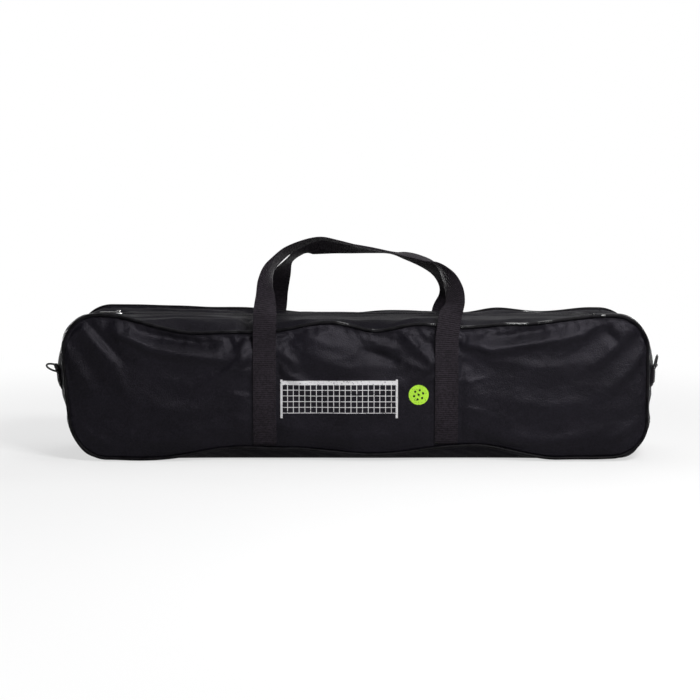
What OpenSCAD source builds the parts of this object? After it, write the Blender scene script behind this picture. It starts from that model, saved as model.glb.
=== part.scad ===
// Portable court net packed in its carry bag.
// A long zipped bag of coated cloth holds a steel tube frame, taken apart, and the tied-up net.
// +X runs along the bag, +Y to its back, +Z up. The origin is under the middle of the base.

/* [Bag] */
// Length of the front and back panels
bag_len = 960; // [940:5:1040]
// Depth of the bag between its two seams
bag_depth = 190; // [180:2:220]
// Height of the panels at their upper corners
bag_height = 241; // [236:1:262]
// Radius of the panel corners
corner_r = 55; // [45:1:62]
// Deepest sag of the long seams
seam_sag = 30; // [20:1:34]
// Thickness of the coated cloth
cloth_t = 1.6; // [1.2:0.1:2.0]
// How far the front and back panels belly out
panel_crown = 14; // [8:1:20]
// How far the end panels belly out
end_bulge = 26; // [18:1:32]
// How far the bottom left corner slumps inwards
slump_left = 22; // [0:1:30]
// How far the bottom right corner slumps inwards
slump_right = 0; // [0:1:20]
// Radius of the corded piping
piping_r = 2.6; // [1.8:0.1:3.2]

/* [Webbing] */
// Width of the carry webbing
strap_w = 38; // [25:1:50]
// Thickness of the carry webbing
strap_t = 2; // [1.4:0.1:2.6]
// Distance from the middle of the bag to each strap
strap_x = 150; // [120:1:200]
// Height at which the straps leave the panels and become handles
handle_z = 205; // [190:1:206]

/* [Zip] */
// Height of the zip tape
zip_z = 235.5; // [232:0.5:242]
// Length of the zip opening
zip_len = 820; // [700:5:825]
// Pitch of the zip teeth
tooth_pitch = 5; // [4:0.5:8]
// Width of one zip tape
tape_w = 22.8; // [18:0.2:28]
// Distance from the middle of the zip to the fold of each top flap
fold_y = 60; // [45:1:70]
// Height of the fold of each top flap
fold_z = 233; // [228:0.5:238]

/* [Ring tabs] */
// Width of the tab webbing, and inside width of the ring
tab_w = 25; // [20:1:32]
// Length of the tab that is sewn down
tab_len = 34; // [25:1:50]
// Wire radius of the D-ring
ring_wire_r = 1.6; // [1.2:0.1:2.2]
// Heights of the left and right rings' bars above the base
ring_z = [150, 154]; // [125:1:185]
// Distance of the tabs in front of the middle of the bag
tab_y = 45; // [0:1:50]
// How far the left and right rings stand up from level
ring_lift = [15, 78]; // [0:1:85]
// How far the left and right tabs are sewn out of level
tab_roll = [18, 0]; // [-30:1:30]

/* [Frame tubes] */
// Outside diameter of every tube
tube_d = 28; // [25:0.5:29]
// Wall of every tube
tube_wall = 1; // [0.8:0.1:1.6]
// Length over which a tube narrows to its plug end
taper_len = 4; // [2:0.5:8]
// Working length of a crossbar, an eighth of the net
bar_len = 838; // [780:2:850]
// Length of the narrowed end that plugs into the next tube
swage_len = 32; // [26:1:34]
// Length of an end post
post_len = 905; // [850:1:910]
// Length of the middle post
centre_post_len = 820; // [780:1:850]
// Length of an end leg
leg_len = 402; // [380:2:406]
// Length of a middle leg
centre_leg_len = 290; // [240:2:400]
// Length of a leg's narrowed end
leg_plug = 24; // [18:1:28]
// Outside diameter of the sockets of a base tee
socket_d = 32; // [31:0.5:34]
// Length of the leg sockets of a base tee
socket_len = 110; // [90:1:120]
// Reach of the post and crossbar sockets from the middle of a base tee
socket_reach = 55; // [45:1:58]

/* [Net] */
// Length of the tied-up net
net_len = 780; // [700:5:790]
// Width of the tied-up net
net_w = 126; // [100:1:134]
// Height of the tied-up net
net_h = 100; // [80:1:106]
// Width of a net tie
tie_w = 38; // [25:1:50]

/* [Fit] */
// Gap between pieces that lie or are sewn against each other
seat_gap = 0.3; // [0.2:0.05:0.5]
// Gap between the straps and the bellied panels under them
strap_gap = 0.6; // [0.5:0.1:1.2]
// Gap between tubes that lie side by side
tube_gap = 0.4; // [0.3:0.1:0.6]
// Looseness of a plug end in a tube, on the diameter
plug_gap = 0.4; // [0.3:0.1:0.8]

/* [Hidden] */
$fn = 48;
half_len = bag_len / 2;
half_depth = bag_depth / 2;
// Waves of the four long seams: [share of the half length, share of seam_sag from the straight seam]
front_top_dips = [[-0.87, 0], [-0.56, 0.97], [-0.33, 0.93], [-0.08, 0.4], [0.065, 0.87], [0.22, 0.5],
    [0.36, 0.67], [0.55, 0.5], [0.88, 0.03]];
back_top_dips = [[-0.85, 0], [-0.42, 0.17], [-0.06, 0.57], [0.13, 0.33], [0.38, 0.47], [0.52, 0.2],
    [0.68, 0.4], [0.86, 0.17]];
front_base_rises = [[-0.95, 0.27], [-0.72, 0.23], [-0.39, 0.87], [-0.22, 0.8], [0.06, 0.47],
    [0.40, 1], [0.70, 0.27], [0.95, 0.33]];
back_base_rises = [[-0.95, 0.27], [-0.5, 0.8], [-0.1, 0.4], [0.3, 0.87], [0.7, 0.33], [0.95, 0.33]];
// Belly of an end panel: [share of the height, share of end_bulge]
end_belly = [[0, 0.5], [0.12, 0.66], [0.3, 0.75], [0.62, 1], [0.82, 0.62], [1, 0.1]];
base_flat = 55;           // half width of the flat that the bag stands on
corner_steps = 6;         // columns of cloth across a corner
straight_steps = 26;      // columns of cloth between the corners
panel_rows = 10;          // rows of cloth up a panel
piping_sides = 6;
seam_y = half_depth - cloth_t - seat_gap;  // where the gussets meet the panels
zip_end = 12;                              // shortest cloth between the zip and a corner
// The corners leave room for the zip between them
corner = min(corner_r, half_len - zip_len / 2 - zip_end);
top_flat = half_len - corner;              // half length of the straight part of the top

// ---------- outline of the bag ----------
function blend(a, b, t) = a + (b - a) * t;
function ease(t) = t * t * (3 - 2 * t);
function wave(x, table, i = 0) =
    x <= table[i][0] ? table[i][1]
    : i == len(table) - 2 && x >= table[i + 1][0] ? table[i + 1][1]
    : x < table[i + 1][0]
    ? blend(table[i][1], table[i + 1][1], ease((x - table[i][0]) / (table[i + 1][0] - table[i][0])))
    : wave(x, table, i + 1);
function reversed(list) = [for (i = [len(list) - 1 : -1 : 0]) list[i]];

corner_x = [for (i = [0 : corner_steps]) -half_len + corner * (1 - cos(90 * i / corner_steps))];
straight_x = [for (i = [1 : straight_steps - 1]) blend(-top_flat, top_flat, i / straight_steps)];
columns = concat(corner_x, straight_x, reversed([for (x = corner_x) -x]));
rows = [for (i = [0 : panel_rows]) i / panel_rows];

function corner_inset(x) =
    let (s = min(x + half_len, half_len - x))
    s >= corner ? 0 : corner - sqrt(max(0, pow(corner, 2) - pow(corner - s, 2)));
function top_z(face, x) =
    bag_height - seam_sag * wave(x / half_len, face < 0 ? front_top_dips : back_top_dips) - corner_inset(x);
function base_z(face, x) =
    seam_sag * wave(x / half_len, face < 0 ? front_base_rises : back_base_rises) + corner_inset(x);
// The lower corners slump inwards
function slumped(x, z) =
    let (share = pow(max(0, 1 - z / bag_height), 2.5) * pow(abs(x) / half_len, 4))
    x + (x < 0 ? slump_left : -slump_right) * share;
// Point of a panel: face -1 is the front and 1 the back, v runs from the base seam to the top seam
function panel_xz(face, x, v) =
    let (z = blend(base_z(face, x), top_z(face, x), v)) [slumped(x, z), z];
function crown(x, v) =
    panel_crown * (1 - pow(abs(2 * v - 1), 3)) * (1 - pow(abs(x) / half_len, 6));
function panel_point(face, x, v, out) =
    let (p = panel_xz(face, x, v)) [p[0], face * (half_depth + crown(x, v) + out), p[1]];

// The seam runs along the base, up the right end, back along the top and down the left end
function seam(face) = concat(
    [for (x = columns) panel_xz(face, x, 0)],
    [for (i = [1 : panel_rows - 1]) panel_xz(face, half_len, rows[i])],
    [for (x = reversed(columns)) panel_xz(face, x, 1)],
    [for (i = [panel_rows - 1 : -1 : 1]) panel_xz(face, -half_len, rows[i])]);
front_seam = seam(-1);
back_seam = seam(1);
seam_n = len(front_seam);
n_columns = len(columns);
function seam_normal(loop, i) =
    let (a = loop[(i + 1) % seam_n], b = loop[(i + seam_n - 1) % seam_n], t = (a - b) / norm(a - b))
    [t[1], -t[0]];

// Where along the seam each gusset starts and ends
base_from = corner_steps;
base_to = n_columns - 1 - corner_steps;
right_to = n_columns + panel_rows - 1 + corner_steps;
left_from = seam_n - panel_rows - corner_steps;
column_pitch = 2 * top_flat / straight_steps;

// ---------- cloth of the gussets ----------
function end_roundness(y) = 1 - pow(abs(y) / half_depth, 1.6);
function base_roundness(y) =
    abs(y) <= base_flat ? 1 : 1 - pow((abs(y) - base_flat) / (half_depth - base_flat), 2.2);
// Height of the top cloth: it sags from the seam to the fold of the flap, then climbs to the zip
flap_edge_y = 9;                                   // the flap's edge beside the teeth
flap_edge_z = zip_z + seat_gap + cloth_t;
flap_slope = (flap_edge_z - fold_z) / (fold_y - flap_edge_y);
strip_rise = 2.5;
function top_cloth_z(y, seam_z) =
    let (s = (seam_y - abs(y)) / (seam_y - fold_y))
    abs(y) > fold_y ? blend(seam_z, fold_z, s) + strip_rise * sin(180 * s)
    : fold_z + (fold_y - max(abs(y), flap_edge_y)) * flap_slope;
level_share = 0.12;        // slopes up to this square of a sine count as level
function along(list, u) = blend(list[floor(u) % seam_n], list[(floor(u) + 1) % seam_n], u - floor(u));
front_normals = [for (i = [0 : seam_n - 1]) seam_normal(front_seam, i)];
back_normals = [for (i = [0 : seam_n - 1]) seam_normal(back_seam, i)];
function gusset_point(u, y, inward) =
    let (side = (y / half_depth + 1) / 2,
        p = blend(along(front_seam, u), along(back_seam, u), side),
        raw = blend(along(front_normals, u), along(back_normals, u), side),
        n = raw / norm(raw), end_share = max(0, n[0] * n[0] - level_share) / (1 - level_share),
        out = end_share * end_bulge * wave(p[1] / bag_height, end_belly) * end_roundness(y),
        lift = p[1] < bag_height / 2 ? -p[1] * base_roundness(y) : top_cloth_z(y, p[1]) - p[1])
    [p[0] + n[0] * (out - inward), y,
        max(inward, p[1] + lift * (1 - end_share) + n[1] * (out - inward))];

// Closed sheet between two grids of points; rows of the grids run the same way
module sheet(outer, inner, flip = false) {
    r = len(outer);
    c = len(outer[0]);
    points = concat([for (row = outer) each row], [for (row = inner) each row]);
    function o(i, j) = i * c + j;
    function n(i, j) = r * c + i * c + j;
    faces = concat(
        [for (i = [0 : r - 2], j = [0 : c - 2]) each [
            [o(i, j), o(i, j + 1), o(i + 1, j + 1)], [o(i, j), o(i + 1, j + 1), o(i + 1, j)],
            [n(i, j), n(i + 1, j + 1), n(i, j + 1)], [n(i, j), n(i + 1, j), n(i + 1, j + 1)]]],
        [for (j = [0 : c - 2]) each [
            [o(0, j + 1), o(0, j), n(0, j)], [o(0, j + 1), n(0, j), n(0, j + 1)],
            [o(r - 1, j), o(r - 1, j + 1), n(r - 1, j + 1)],
            [o(r - 1, j), n(r - 1, j + 1), n(r - 1, j)]]],
        [for (i = [0 : r - 2]) each [
            [o(i, 0), o(i + 1, 0), n(i + 1, 0)], [o(i, 0), n(i + 1, 0), n(i, 0)],
            [o(i + 1, c - 1), o(i, c - 1), n(i, c - 1)],
            [o(i + 1, c - 1), n(i, c - 1), n(i + 1, c - 1)]]]);
    polyhedron(points, flip ? [for (f = faces) [f[2], f[1], f[0]]] : faces);
}

module panel(face) {
    color("#1d1b20")
        sheet([for (v = rows) [for (x = columns) panel_point(face, x, v, 0)]],
            [for (v = rows) [for (x = columns) panel_point(face, x, v, -cloth_t)]], face < 0);
}

end_side_y = [flap_edge_y, fold_y * 0.57, fold_y, blend(fold_y, seam_y, 0.4),
    blend(fold_y, seam_y, 0.75), seam_y];
end_rows_y = concat(reversed([for (y = end_side_y) -y]), end_side_y);
base_rows_y = concat([for (s = [0, 0.25, 0.55, 0.8, 1]) blend(-seam_y, -base_flat, s)],
    [for (s = [0, 0.2, 0.45, 0.75, 1]) blend(base_flat, seam_y, s)]);

// Gusset cloth from one place on the seam to another; trim shortens both ends
module gusset(from, to, across, trim = 0) {
    places = concat([from + trim], [for (i = [from + 1 : to - 1]) i], [to - trim]);
    color("#19171b")
        sheet([for (u = places) [for (y = across) gusset_point(u, y, 0)]],
            [for (u = places) [for (y = across) gusset_point(u, y, cloth_t)]], true);
}

// Piping: a corded tube that follows the whole seam of one panel, just outside it
module piping(face) {
    loop = face < 0 ? front_seam : back_seam;
    reach = piping_r + seat_gap;
    rings = [for (i = [0 : seam_n - 1])
        let (n = seam_normal(loop, i), c = loop[i] + n * reach)
        [for (k = [0 : piping_sides - 1])
            let (a = 360 * k / piping_sides)
            [c[0] + n[0] * piping_r * cos(a), face * (half_depth - cloth_t + piping_r) + piping_r * sin(a),
                c[1] + n[1] * piping_r * cos(a)]]];
    function at(i, k) = (i % seam_n) * piping_sides + k % piping_sides;
    color("#0e0d10")
        polyhedron([for (ring = rings) each ring],
            [for (i = [0 : seam_n - 1], k = [0 : piping_sides - 1]) each [
                [at(i, k), at(i + 1, k), at(i + 1, k + 1)],
                [at(i, k), at(i + 1, k + 1), at(i, k + 1)]]]);
}

// ---------- top of the bag ----------
top_columns = [for (x = columns) if (abs(x) <= top_flat + 0.01) x];
strip_rows = [0, 0.25, 0.6, 1];
strip_end = top_flat - seat_gap;
// Narrow strip of cloth between a top seam and the fold of its flap
module top_strip(face) {
    function strip(s, down) = let (y = blend(seam_y, fold_y + seat_gap, s)) [for (x = top_columns)
        [min(strip_end, max(-strip_end, x)), face * y, top_cloth_z(y, top_z(face, x)) - down]];
    color("#19171b")
        sheet([for (s = strip_rows) strip(s, 0)], [for (s = strip_rows) strip(s, cloth_t)],
            face > 0);
}

// Half of the top cloth, drawn as its section and pulled along the bag
module flap_section(face) {
    polygon([[face * (fold_y - seat_gap), fold_z - cloth_t], [face * (fold_y - seat_gap), fold_z],
        [face * flap_edge_y, flap_edge_z], [face * flap_edge_y, flap_edge_z - cloth_t]]);
}
module along_bag(from, to) {
    translate([from, 0, 0]) rotate([90, 0, 90]) linear_extrude(to - from) children();
}
module top_flap(face) {
    color("#1d1b20") along_bag(-zip_len / 2, zip_len / 2) flap_section(face);
}
// Cloth between the end of the zip and the end panel
module zip_tab(side) {
    low = zip_len / 2 + seat_gap;
    color("#19171b")
        along_bag(side > 0 ? low : -strip_end, side > 0 ? strip_end : -low)
            polygon([[-fold_y, fold_z - cloth_t], [-fold_y, fold_z], [-flap_edge_y, flap_edge_z],
                [flap_edge_y, flap_edge_z], [fold_y, fold_z], [fold_y, fold_z - cloth_t],
                [flap_edge_y, flap_edge_z - cloth_t], [-flap_edge_y, flap_edge_z - cloth_t]]);
}

// ---------- zip ----------
tape_t = 0.8;
tape_edge_y = 1.4;                      // half of the gap between the two tapes
tooth_h = 2;
tooth_from = -zip_len / 2 + 12;
tooth_n = floor((zip_len - 24) / tooth_pitch);
tooth_root = 3.8;                       // outer edge of the cord that the teeth stand on
tooth_neck = 1.6;
tooth_tip = 1.1;                        // how far a tooth reaches past the middle
tooth_share = 0.42;                     // width of a tooth as a share of its pitch
// Zip tape: flat beside the teeth, then under the flap that it is sewn to
module zip_tape(face) {
    outer_y = tape_edge_y + tape_w;
    outer_z = zip_z - (outer_y - flap_edge_y) * flap_slope;
    color("#141216")
        along_bag(-zip_len / 2, zip_len / 2) polygon([for (p = [
            [tape_edge_y, zip_z], [flap_edge_y, zip_z], [outer_y, outer_z],
            [outer_y, outer_z - tape_t], [flap_edge_y, zip_z - tape_t], [tape_edge_y, zip_z - tape_t]])
            [face * p[0], p[1]]]);
}
// One side of the zip's teeth, with the stop at its closed end
module zip_teeth(face) {
    start = tooth_from + (face > 0 ? tooth_pitch / 2 : 0);
    outline = concat(
        [[tooth_from - 1, -tooth_root], [tooth_from - 1, -tooth_neck]],
        [for (i = [0 : tooth_n - 1]) let (x = start + i * tooth_pitch, w = tooth_share * tooth_pitch)
            each [[x, -tooth_neck], [x, tooth_tip], [x + w, tooth_tip], [x + w, -tooth_neck]]],
        [[-tooth_from + tooth_pitch, -tooth_neck], [-tooth_from + tooth_pitch, -tooth_root]]);
    color("#222024")
        translate([0, 0, zip_z]) mirror([0, face > 0 ? 1 : 0, 0])
            linear_extrude(tooth_h) polygon(outline);
}
// Metal clip that joins the two tapes at the open end of the zip
stop_len = 5;
module zip_stop() {
    color("#b8bac0")
        translate([zip_len / 2 - stop_len - 1, -tooth_root, zip_z + seat_gap])
            cube([stop_len, 2 * tooth_root, tooth_h]);
}

slider_len = 15;
slider_w = 11.4;
slider_nose = 6.4;
plate_t = 1.3;
slider_x = tooth_from - 5;              // the slider's middle when the zip is closed
slider_top = zip_z + tooth_h + seat_gap;
slider_low = zip_z - tape_t - seat_gap - plate_t;
bail_len = 8;
bail_w = 3.2;
bail_h = 5.2;
pin_r = 1;
module slider_plate() {
    r = slider_w / 2;
    polygon(concat([for (a = [90 : 15 : 270]) [-slider_len / 2 + r + r * cos(a), r * sin(a)]],
        [[slider_len / 2, -slider_nose / 2], [slider_len / 2, slider_nose / 2]]));
}
// Slider: two plates joined by the wedge that parts the teeth, with a bail for the puller
module zip_slider() {
    color("#c3c5cb") translate([slider_x, 0, 0]) {
        translate([0, 0, slider_low]) linear_extrude(plate_t) slider_plate();
        translate([0, 0, slider_top]) linear_extrude(plate_t) slider_plate();
        translate([-slider_len / 2 + 0.6, -0.8, slider_low + plate_t / 2])
            cube([3, 1.6, slider_top - slider_low]);
        translate([0, bail_w / 2, slider_top + plate_t / 2]) rotate([90, 0, 0])
            linear_extrude(bail_w) difference() {
                polygon([[-bail_len / 2, 0], [-bail_len / 2, bail_h - 1.4],
                    [-bail_len / 2 + 1.4, bail_h], [bail_len / 2 - 1.4, bail_h],
                    [bail_len / 2, bail_h - 1.4], [bail_len / 2, 0]]);
                polygon([[-bail_len / 2 + 1.4, -1], [-bail_len / 2 + 1.4, bail_h - 1.8],
                    [-bail_len / 2 + 1.8, bail_h - 1.4], [bail_len / 2 - 1.8, bail_h - 1.4],
                    [bail_len / 2 - 1.4, bail_h - 1.8], [bail_len / 2 - 1.4, -1]]);
            }
    }
}
// Puller: a flat tab whose eye hangs on the bail
puller_len = 30;
puller_w = 9;
puller_t = 1.6;
eye_gap = 4;                            // width of the puller's eye, round the bail
puller_pin_x = slider_x - bail_len / 2 + 1.4 + pin_r + 0.4;
puller_pin_z = slider_top + plate_t + 1.3;
module zip_puller() {
    color("#c3c5cb") translate([puller_pin_x, 0, puller_pin_z]) {
        rotate([90, 0, 0]) cylinder(r = pin_r, h = puller_w - 2, center = true);
        translate([0, 0, -puller_t / 2]) linear_extrude(puller_t) difference() {
            union() {
                translate([-puller_len + puller_w / 2, -puller_w / 2])
                    square([puller_len - puller_w / 2, puller_w]);
                translate([-puller_len + puller_w / 2, 0]) circle(d = puller_w);
            }
            translate([-6.5, -eye_gap / 2]) square([10, eye_gap]);
            translate([-puller_len + 6, 0]) circle(d = 3.6);
        }
    }
}

// ---------- carry straps and handles ----------
strap_rows = [for (i = [0 : panel_rows]) i / panel_rows];
strap_foot = 0.012;       // where a strap starts, as a share of the panel's height
// How far up the panel, as a share, a strap reaches at its handle
function strap_share(face, x) = (handle_z - base_z(face, x)) / (top_z(face, x) - base_z(face, x));
// A strap stands straight above the belly of the panel, so that its handle's two ends line up
strap_out = strap_gap + max([for (face = [-1, 1], x = [-strap_x, strap_x]) crown(x, strap_share(face, x))]);
module carry_strap(face, side) {
    x0 = side * strap_x - strap_w / 2;
    xs = [x0, x0 + strap_w / 2, x0 + strap_w];
    function at(s, out) = [for (x = xs)
        let (v = blend(strap_foot, strap_share(face, x), s), p = panel_point(face, x, v, 0),
            y = strap_gap + crown(x, v))
        [p[0], face * (half_depth + (v > 0.5 ? max(y, strap_out) : y) + out), p[2]]];
    color("#232026")
        sheet([for (s = strap_rows) at(s, strap_t)], [for (s = strap_rows) at(s, 0)], face < 0);
}

// The handles begin in line with the straps, and fold just outside the straps' outer face
leg_y = half_depth + strap_out + strap_t / 2;
hinge_y = leg_y + strap_t / 2 + 2 * seat_gap;
// Stations of the handles: [x, y, z above the fold, direction of the webbing's width]
front_handle_path = [
    [[-strap_x, -leg_y, 0.4], [1, 0, 0]],
    [[-strap_x + 1, -leg_y + 1, 38], [1, 0.08, 0]],
    [[-strap_x + 2, -93, 66], [0.8, 0.6, 0]],
    [[-strap_x + 2, -80, 92], [0.55, 0.82, -0.05]],
    [[-strap_x + 11, -61, 117], [0.35, 0.92, -0.1]],
    [[-strap_x + 33, -44, 139], [0.25, 0.92, -0.25]],
    [[-strap_x + 64, -34, 154.5], [0.1, 0.96, -0.25]],
    [[-58, -32, 161.5], [0, 0.98, -0.18]],
    [[-28, -31, 156.5], [0, 0.99, -0.14]],
    [[5, -31, 148.5], [0, 0.99, -0.12]],
    [[36, -31, 142], [0, 0.99, -0.1]],
    [[60, -32, 138], [0, 0.99, -0.06]],
    [[84, -34, 135.5], [-0.03, 0.98, 0.14]],
    [[108, -38, 130], [-0.12, 0.96, 0.18]],
    [[strap_x - 17, -45, 120], [-0.3, 0.92, 0.15]],
    [[strap_x + 1, -59, 101], [-0.5, 0.86, 0.12]],
    [[strap_x + 12, -77, 80], [-0.62, 0.78, 0.05]],
    [[strap_x + 14, -92, 60], [-0.75, 0.66, 0]],
    [[strap_x + 6, -leg_y + 2, 38], [-0.98, 0.15, 0]],
    [[strap_x, -leg_y, 0.4], [-1, 0, 0]]];
back_handle_path = [
    [[-strap_x, leg_y, 0.4], [1, 0, 0]],
    [[-strap_x + 10, leg_y - 2, 32], [1, 0.05, 0]],
    [[-strap_x + 14, 88, 64], [0.97, 0.2, 0]],
    [[-strap_x + 19, 70, 92], [0.9, 0.4, -0.1]],
    [[-strap_x + 25, 52, 116], [0.75, 0.62, -0.25]],
    [[-strap_x + 37, 33, 136.5], [0.25, 0.84, -0.42]],
    [[-84, 19, 145], [0.05, 0.79, -0.6]],
    [[-45, 15, 145.5], [0, 0.79, -0.6]],
    [[-10, 15, 143], [0, 0.88, -0.46]],
    [[27, 15, 140], [0, 0.95, -0.28]],
    [[62, 17, 135.5], [-0.05, 0.98, -0.12]],
    [[92, 23, 128.5], [-0.2, 0.96, -0.13]],
    [[strap_x - 29, 35, 115], [-0.3, 0.93, -0.18]],
    [[strap_x - 3, 54, 94], [-0.5, 0.85, -0.1]],
    [[strap_x + 12, 73, 72], [-0.72, 0.68, -0.05]],
    [[strap_x + 13, 90, 51], [-0.85, 0.5, 0]],
    [[strap_x + 4, leg_y - 2, 30], [-1, 0.1, 0]],
    [[strap_x, leg_y, 0.4], [-1, 0, 0]]];
handle_steps = 3;
// Smooth curve through a list, at a place counted in stations
function through(list, u) =
    let (last = len(list) - 1, i = min(last - 1, floor(u)), t = u - i,
        a = list[max(0, i - 1)], b = list[i], c = list[i + 1], d = list[min(last, i + 2)])
    0.5 * (2 * b + (c - a) * t + (2 * a - 5 * b + 4 * c - d) * t * t
        + (3 * b - a - 3 * c + d) * t * t * t);
module webbing(path) {
    places = [for (s = path) s[0] + [0, 0, handle_z]];
    widths = [for (s = path) s[1]];
    last = (len(path) - 1) * handle_steps;
    rings = [for (k = [0 : last])
        let (u = k / handle_steps, p = through(places, u), e = 0.02,
            tangent = through(places, min(len(path) - 1, u + e)) - through(places, max(0, u - e)),
            t = tangent / norm(tangent), raw = through(widths, u),
            flat_raw = k == 0 || k == last ? [1, 0, 0] * sign(raw[0]) : raw - (raw * t) * t,
            w = flat_raw / norm(flat_raw) * strap_w / 2,
            n = cross(k == 0 ? [0, 0, 1] : k == last ? [0, 0, -1] : t, w / norm(w)) * strap_t / 2)
        [p - w - n, p + w - n, p + w + n, p - w + n]];
    function at(k, j) = k * 4 + j % 4;
    // Both faces of the webbing are split along the same diagonal, so that a twist keeps them apart
    color("#232026")
        polyhedron([for (ring = rings) each ring], concat(
            [for (k = [0 : last - 1], j = [0 : 3]) each (j == 2
                ? [[at(k, j), at(k + 1, j), at(k, j + 1)], [at(k + 1, j), at(k + 1, j + 1), at(k, j + 1)]]
                : [[at(k, j), at(k + 1, j), at(k + 1, j + 1)],
                    [at(k, j), at(k + 1, j + 1), at(k, j + 1)]])],
            [[at(0, 0), at(0, 1), at(0, 2)], [at(0, 0), at(0, 2), at(0, 3)],
            [at(last, 2), at(last, 1), at(last, 0)], [at(last, 3), at(last, 2), at(last, 0)]]));
}

// ---------- ring tabs at the ends ----------
tab_t = 1.8;
loop_r = ring_wire_r + seat_gap;                       // inside of the webbing's loop
ring_inner_r = tab_w / 2 + seat_gap;
// The tab lies square to the cloth of the end panel
tab_yaw = atan(1.6 * end_bulge / half_depth * pow(tab_y / half_depth, 0.6));
function end_cloth_x(side, y, z) =
    abs(slumped(side * half_len, z)) + end_bulge * wave(z / bag_height, end_belly) * end_roundness(y);
function tab_x(side, share) = end_cloth_x(side, tab_y, ring_z[side < 0 ? 0 : 1] - share * tab_len);
function tab_lean(side) = atan((tab_x(side, 0) - tab_x(side, 1)) / tab_len);
function bar_x(side) = tab_x(side, 0.5) + tan(tab_lean(side)) * tab_len / 2
    + (strap_gap + tab_t + loop_r) / cos(tab_lean(side));
module at_end(side) {
    i = side < 0 ? 0 : 1;
    mirror([1 - i, 0, 0]) translate([bar_x(side), -tab_y, ring_z[i]])
        rotate([0, 0, -tab_yaw]) rotate([0, tab_lean(side), 0]) rotate([tab_roll[i], 0, 0]) children();
}
// Webbing folded round the ring's bar and sewn down below it
module ring_tab(side) {
    back = -loop_r - tab_t;
    color("#232026") at_end(side)
        translate([0, tab_w / 2, 0]) rotate([90, 0, 0]) linear_extrude(tab_w) {
            difference() {
                circle(r = loop_r + tab_t);
                circle(r = loop_r);
                translate([0, -loop_r - tab_t - 1]) square([loop_r + tab_t + 1, loop_r + tab_t + 1]);
            }
            translate([back, -tab_len]) square([tab_t, tab_len]);
            translate([back + tab_t + seat_gap / 3, -tab_len]) square([tab_t, tab_len - 6]);
        }
}
ring_leg = loop_r + tab_t;      // the ring's sides are straight as far as the webbing reaches
module d_ring(side) {
    color("#1b1b1e") at_end(side) rotate([0, -ring_lift[side < 0 ? 0 : 1] - tab_lean(side), 0]) {
        reach = ring_inner_r + ring_wire_r;
        rotate([90, 0, 0]) cylinder(r = ring_wire_r, h = 2 * reach, center = true);
        for (s = [-1, 1]) translate([0, s * reach, 0]) {
            sphere(r = ring_wire_r);
            rotate([0, 90, 0]) cylinder(r = ring_wire_r, h = ring_leg);
        }
        translate([ring_leg, 0, 0]) rotate([0, 0, -90]) rotate_extrude(angle = 180)
            translate([reach, 0]) circle(r = ring_wire_r);
    }
}

// ---------- the frame's tubes, laid in the bag ----------
pitch_y = tube_d + tube_gap;
pitch_z = pitch_y * sin(60);
row_z = cloth_t + seat_gap + tube_d / 2;
function row_height(row) = row_z + row * pitch_z;
net_floor = row_height(2) + tube_d / 2 + seat_gap;
swage_d = tube_d - 2 * tube_wall - plug_gap;

// Tube along +X from the origin, narrowed at its far end when plug is more than 0
module tube(length, plug = 0) {
    r = tube_d / 2;
    s = swage_d / 2;
    color("#2a2b2e") rotate([0, 90, 0]) rotate_extrude()
        polygon(plug > 0
            ? [[r - tube_wall, 0], [r, 0], [r, length - taper_len], [s, length], [s, length + plug],
                [s - tube_wall, length + plug], [s - tube_wall, length],
                [r - tube_wall, length - taper_len]]
            : [[r - tube_wall, 0], [r, 0], [r, length], [r - tube_wall, length]]);
}
// Puts a piece in its row, starting x in front of the middle; turned swaps its two ends
module lay(row, place, x, turned = false) {
    translate([0, place * pitch_y, row_height(row)])
        mirror([turned ? 1 : 0, 0, 0]) translate([x, 0, 0]) children();
}
// Row and place across the bag of each crossbar; neighbours lie head to tail
bar_places = [[0, -1.5], [0, -0.5], [0, 0.5], [0, 1.5], [1, -2], [1, -1], [1, 1], [1, 2]];
bar_shift = 7;            // the lowest row lies this far towards the squarer end of the bag
module crossbar(i) {
    place = bar_places[i];
    translate([place[0] == 0 ? bar_shift : 0, 0, 0])
        lay(place[0], place[1], -(bar_len + swage_len) / 2, i % 2 == 1) tube(bar_len, swage_len);
}
cap_t = 3;
cap_chamfer = 3;
cap_fit = 0.1;
cap_plug = 14;
// Plastic or rubber cap that plugs the end of a tube; it faces -X
module end_cap(dome = 0) {
    r = tube_d / 2;
    bore = r - tube_wall;
    rotate([0, 90, 0]) rotate_extrude()
        polygon([[0, -cap_t - dome], [r - cap_chamfer, -cap_t - dome], [r, -cap_t], [r, 0],
            [bore - cap_fit, 0], [bore - cap_fit, cap_plug], [0, cap_plug]]);
}
post_x = -(post_len + cap_t) / 2 + cap_t;
module left_post() { lay(2, -0.5, post_x) tube(post_len); }
module right_post() { lay(2, 0.5, post_x) tube(post_len); }
centre_post_x = -centre_post_len / 2;
module centre_post() { lay(1, 0, centre_post_x) tube(centre_post_len); }
module post_caps() {
    color("#161618") {
        for (p = [-0.5, 0.5]) lay(2, p, post_x - seat_gap / 3) end_cap();
    }
}
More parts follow.
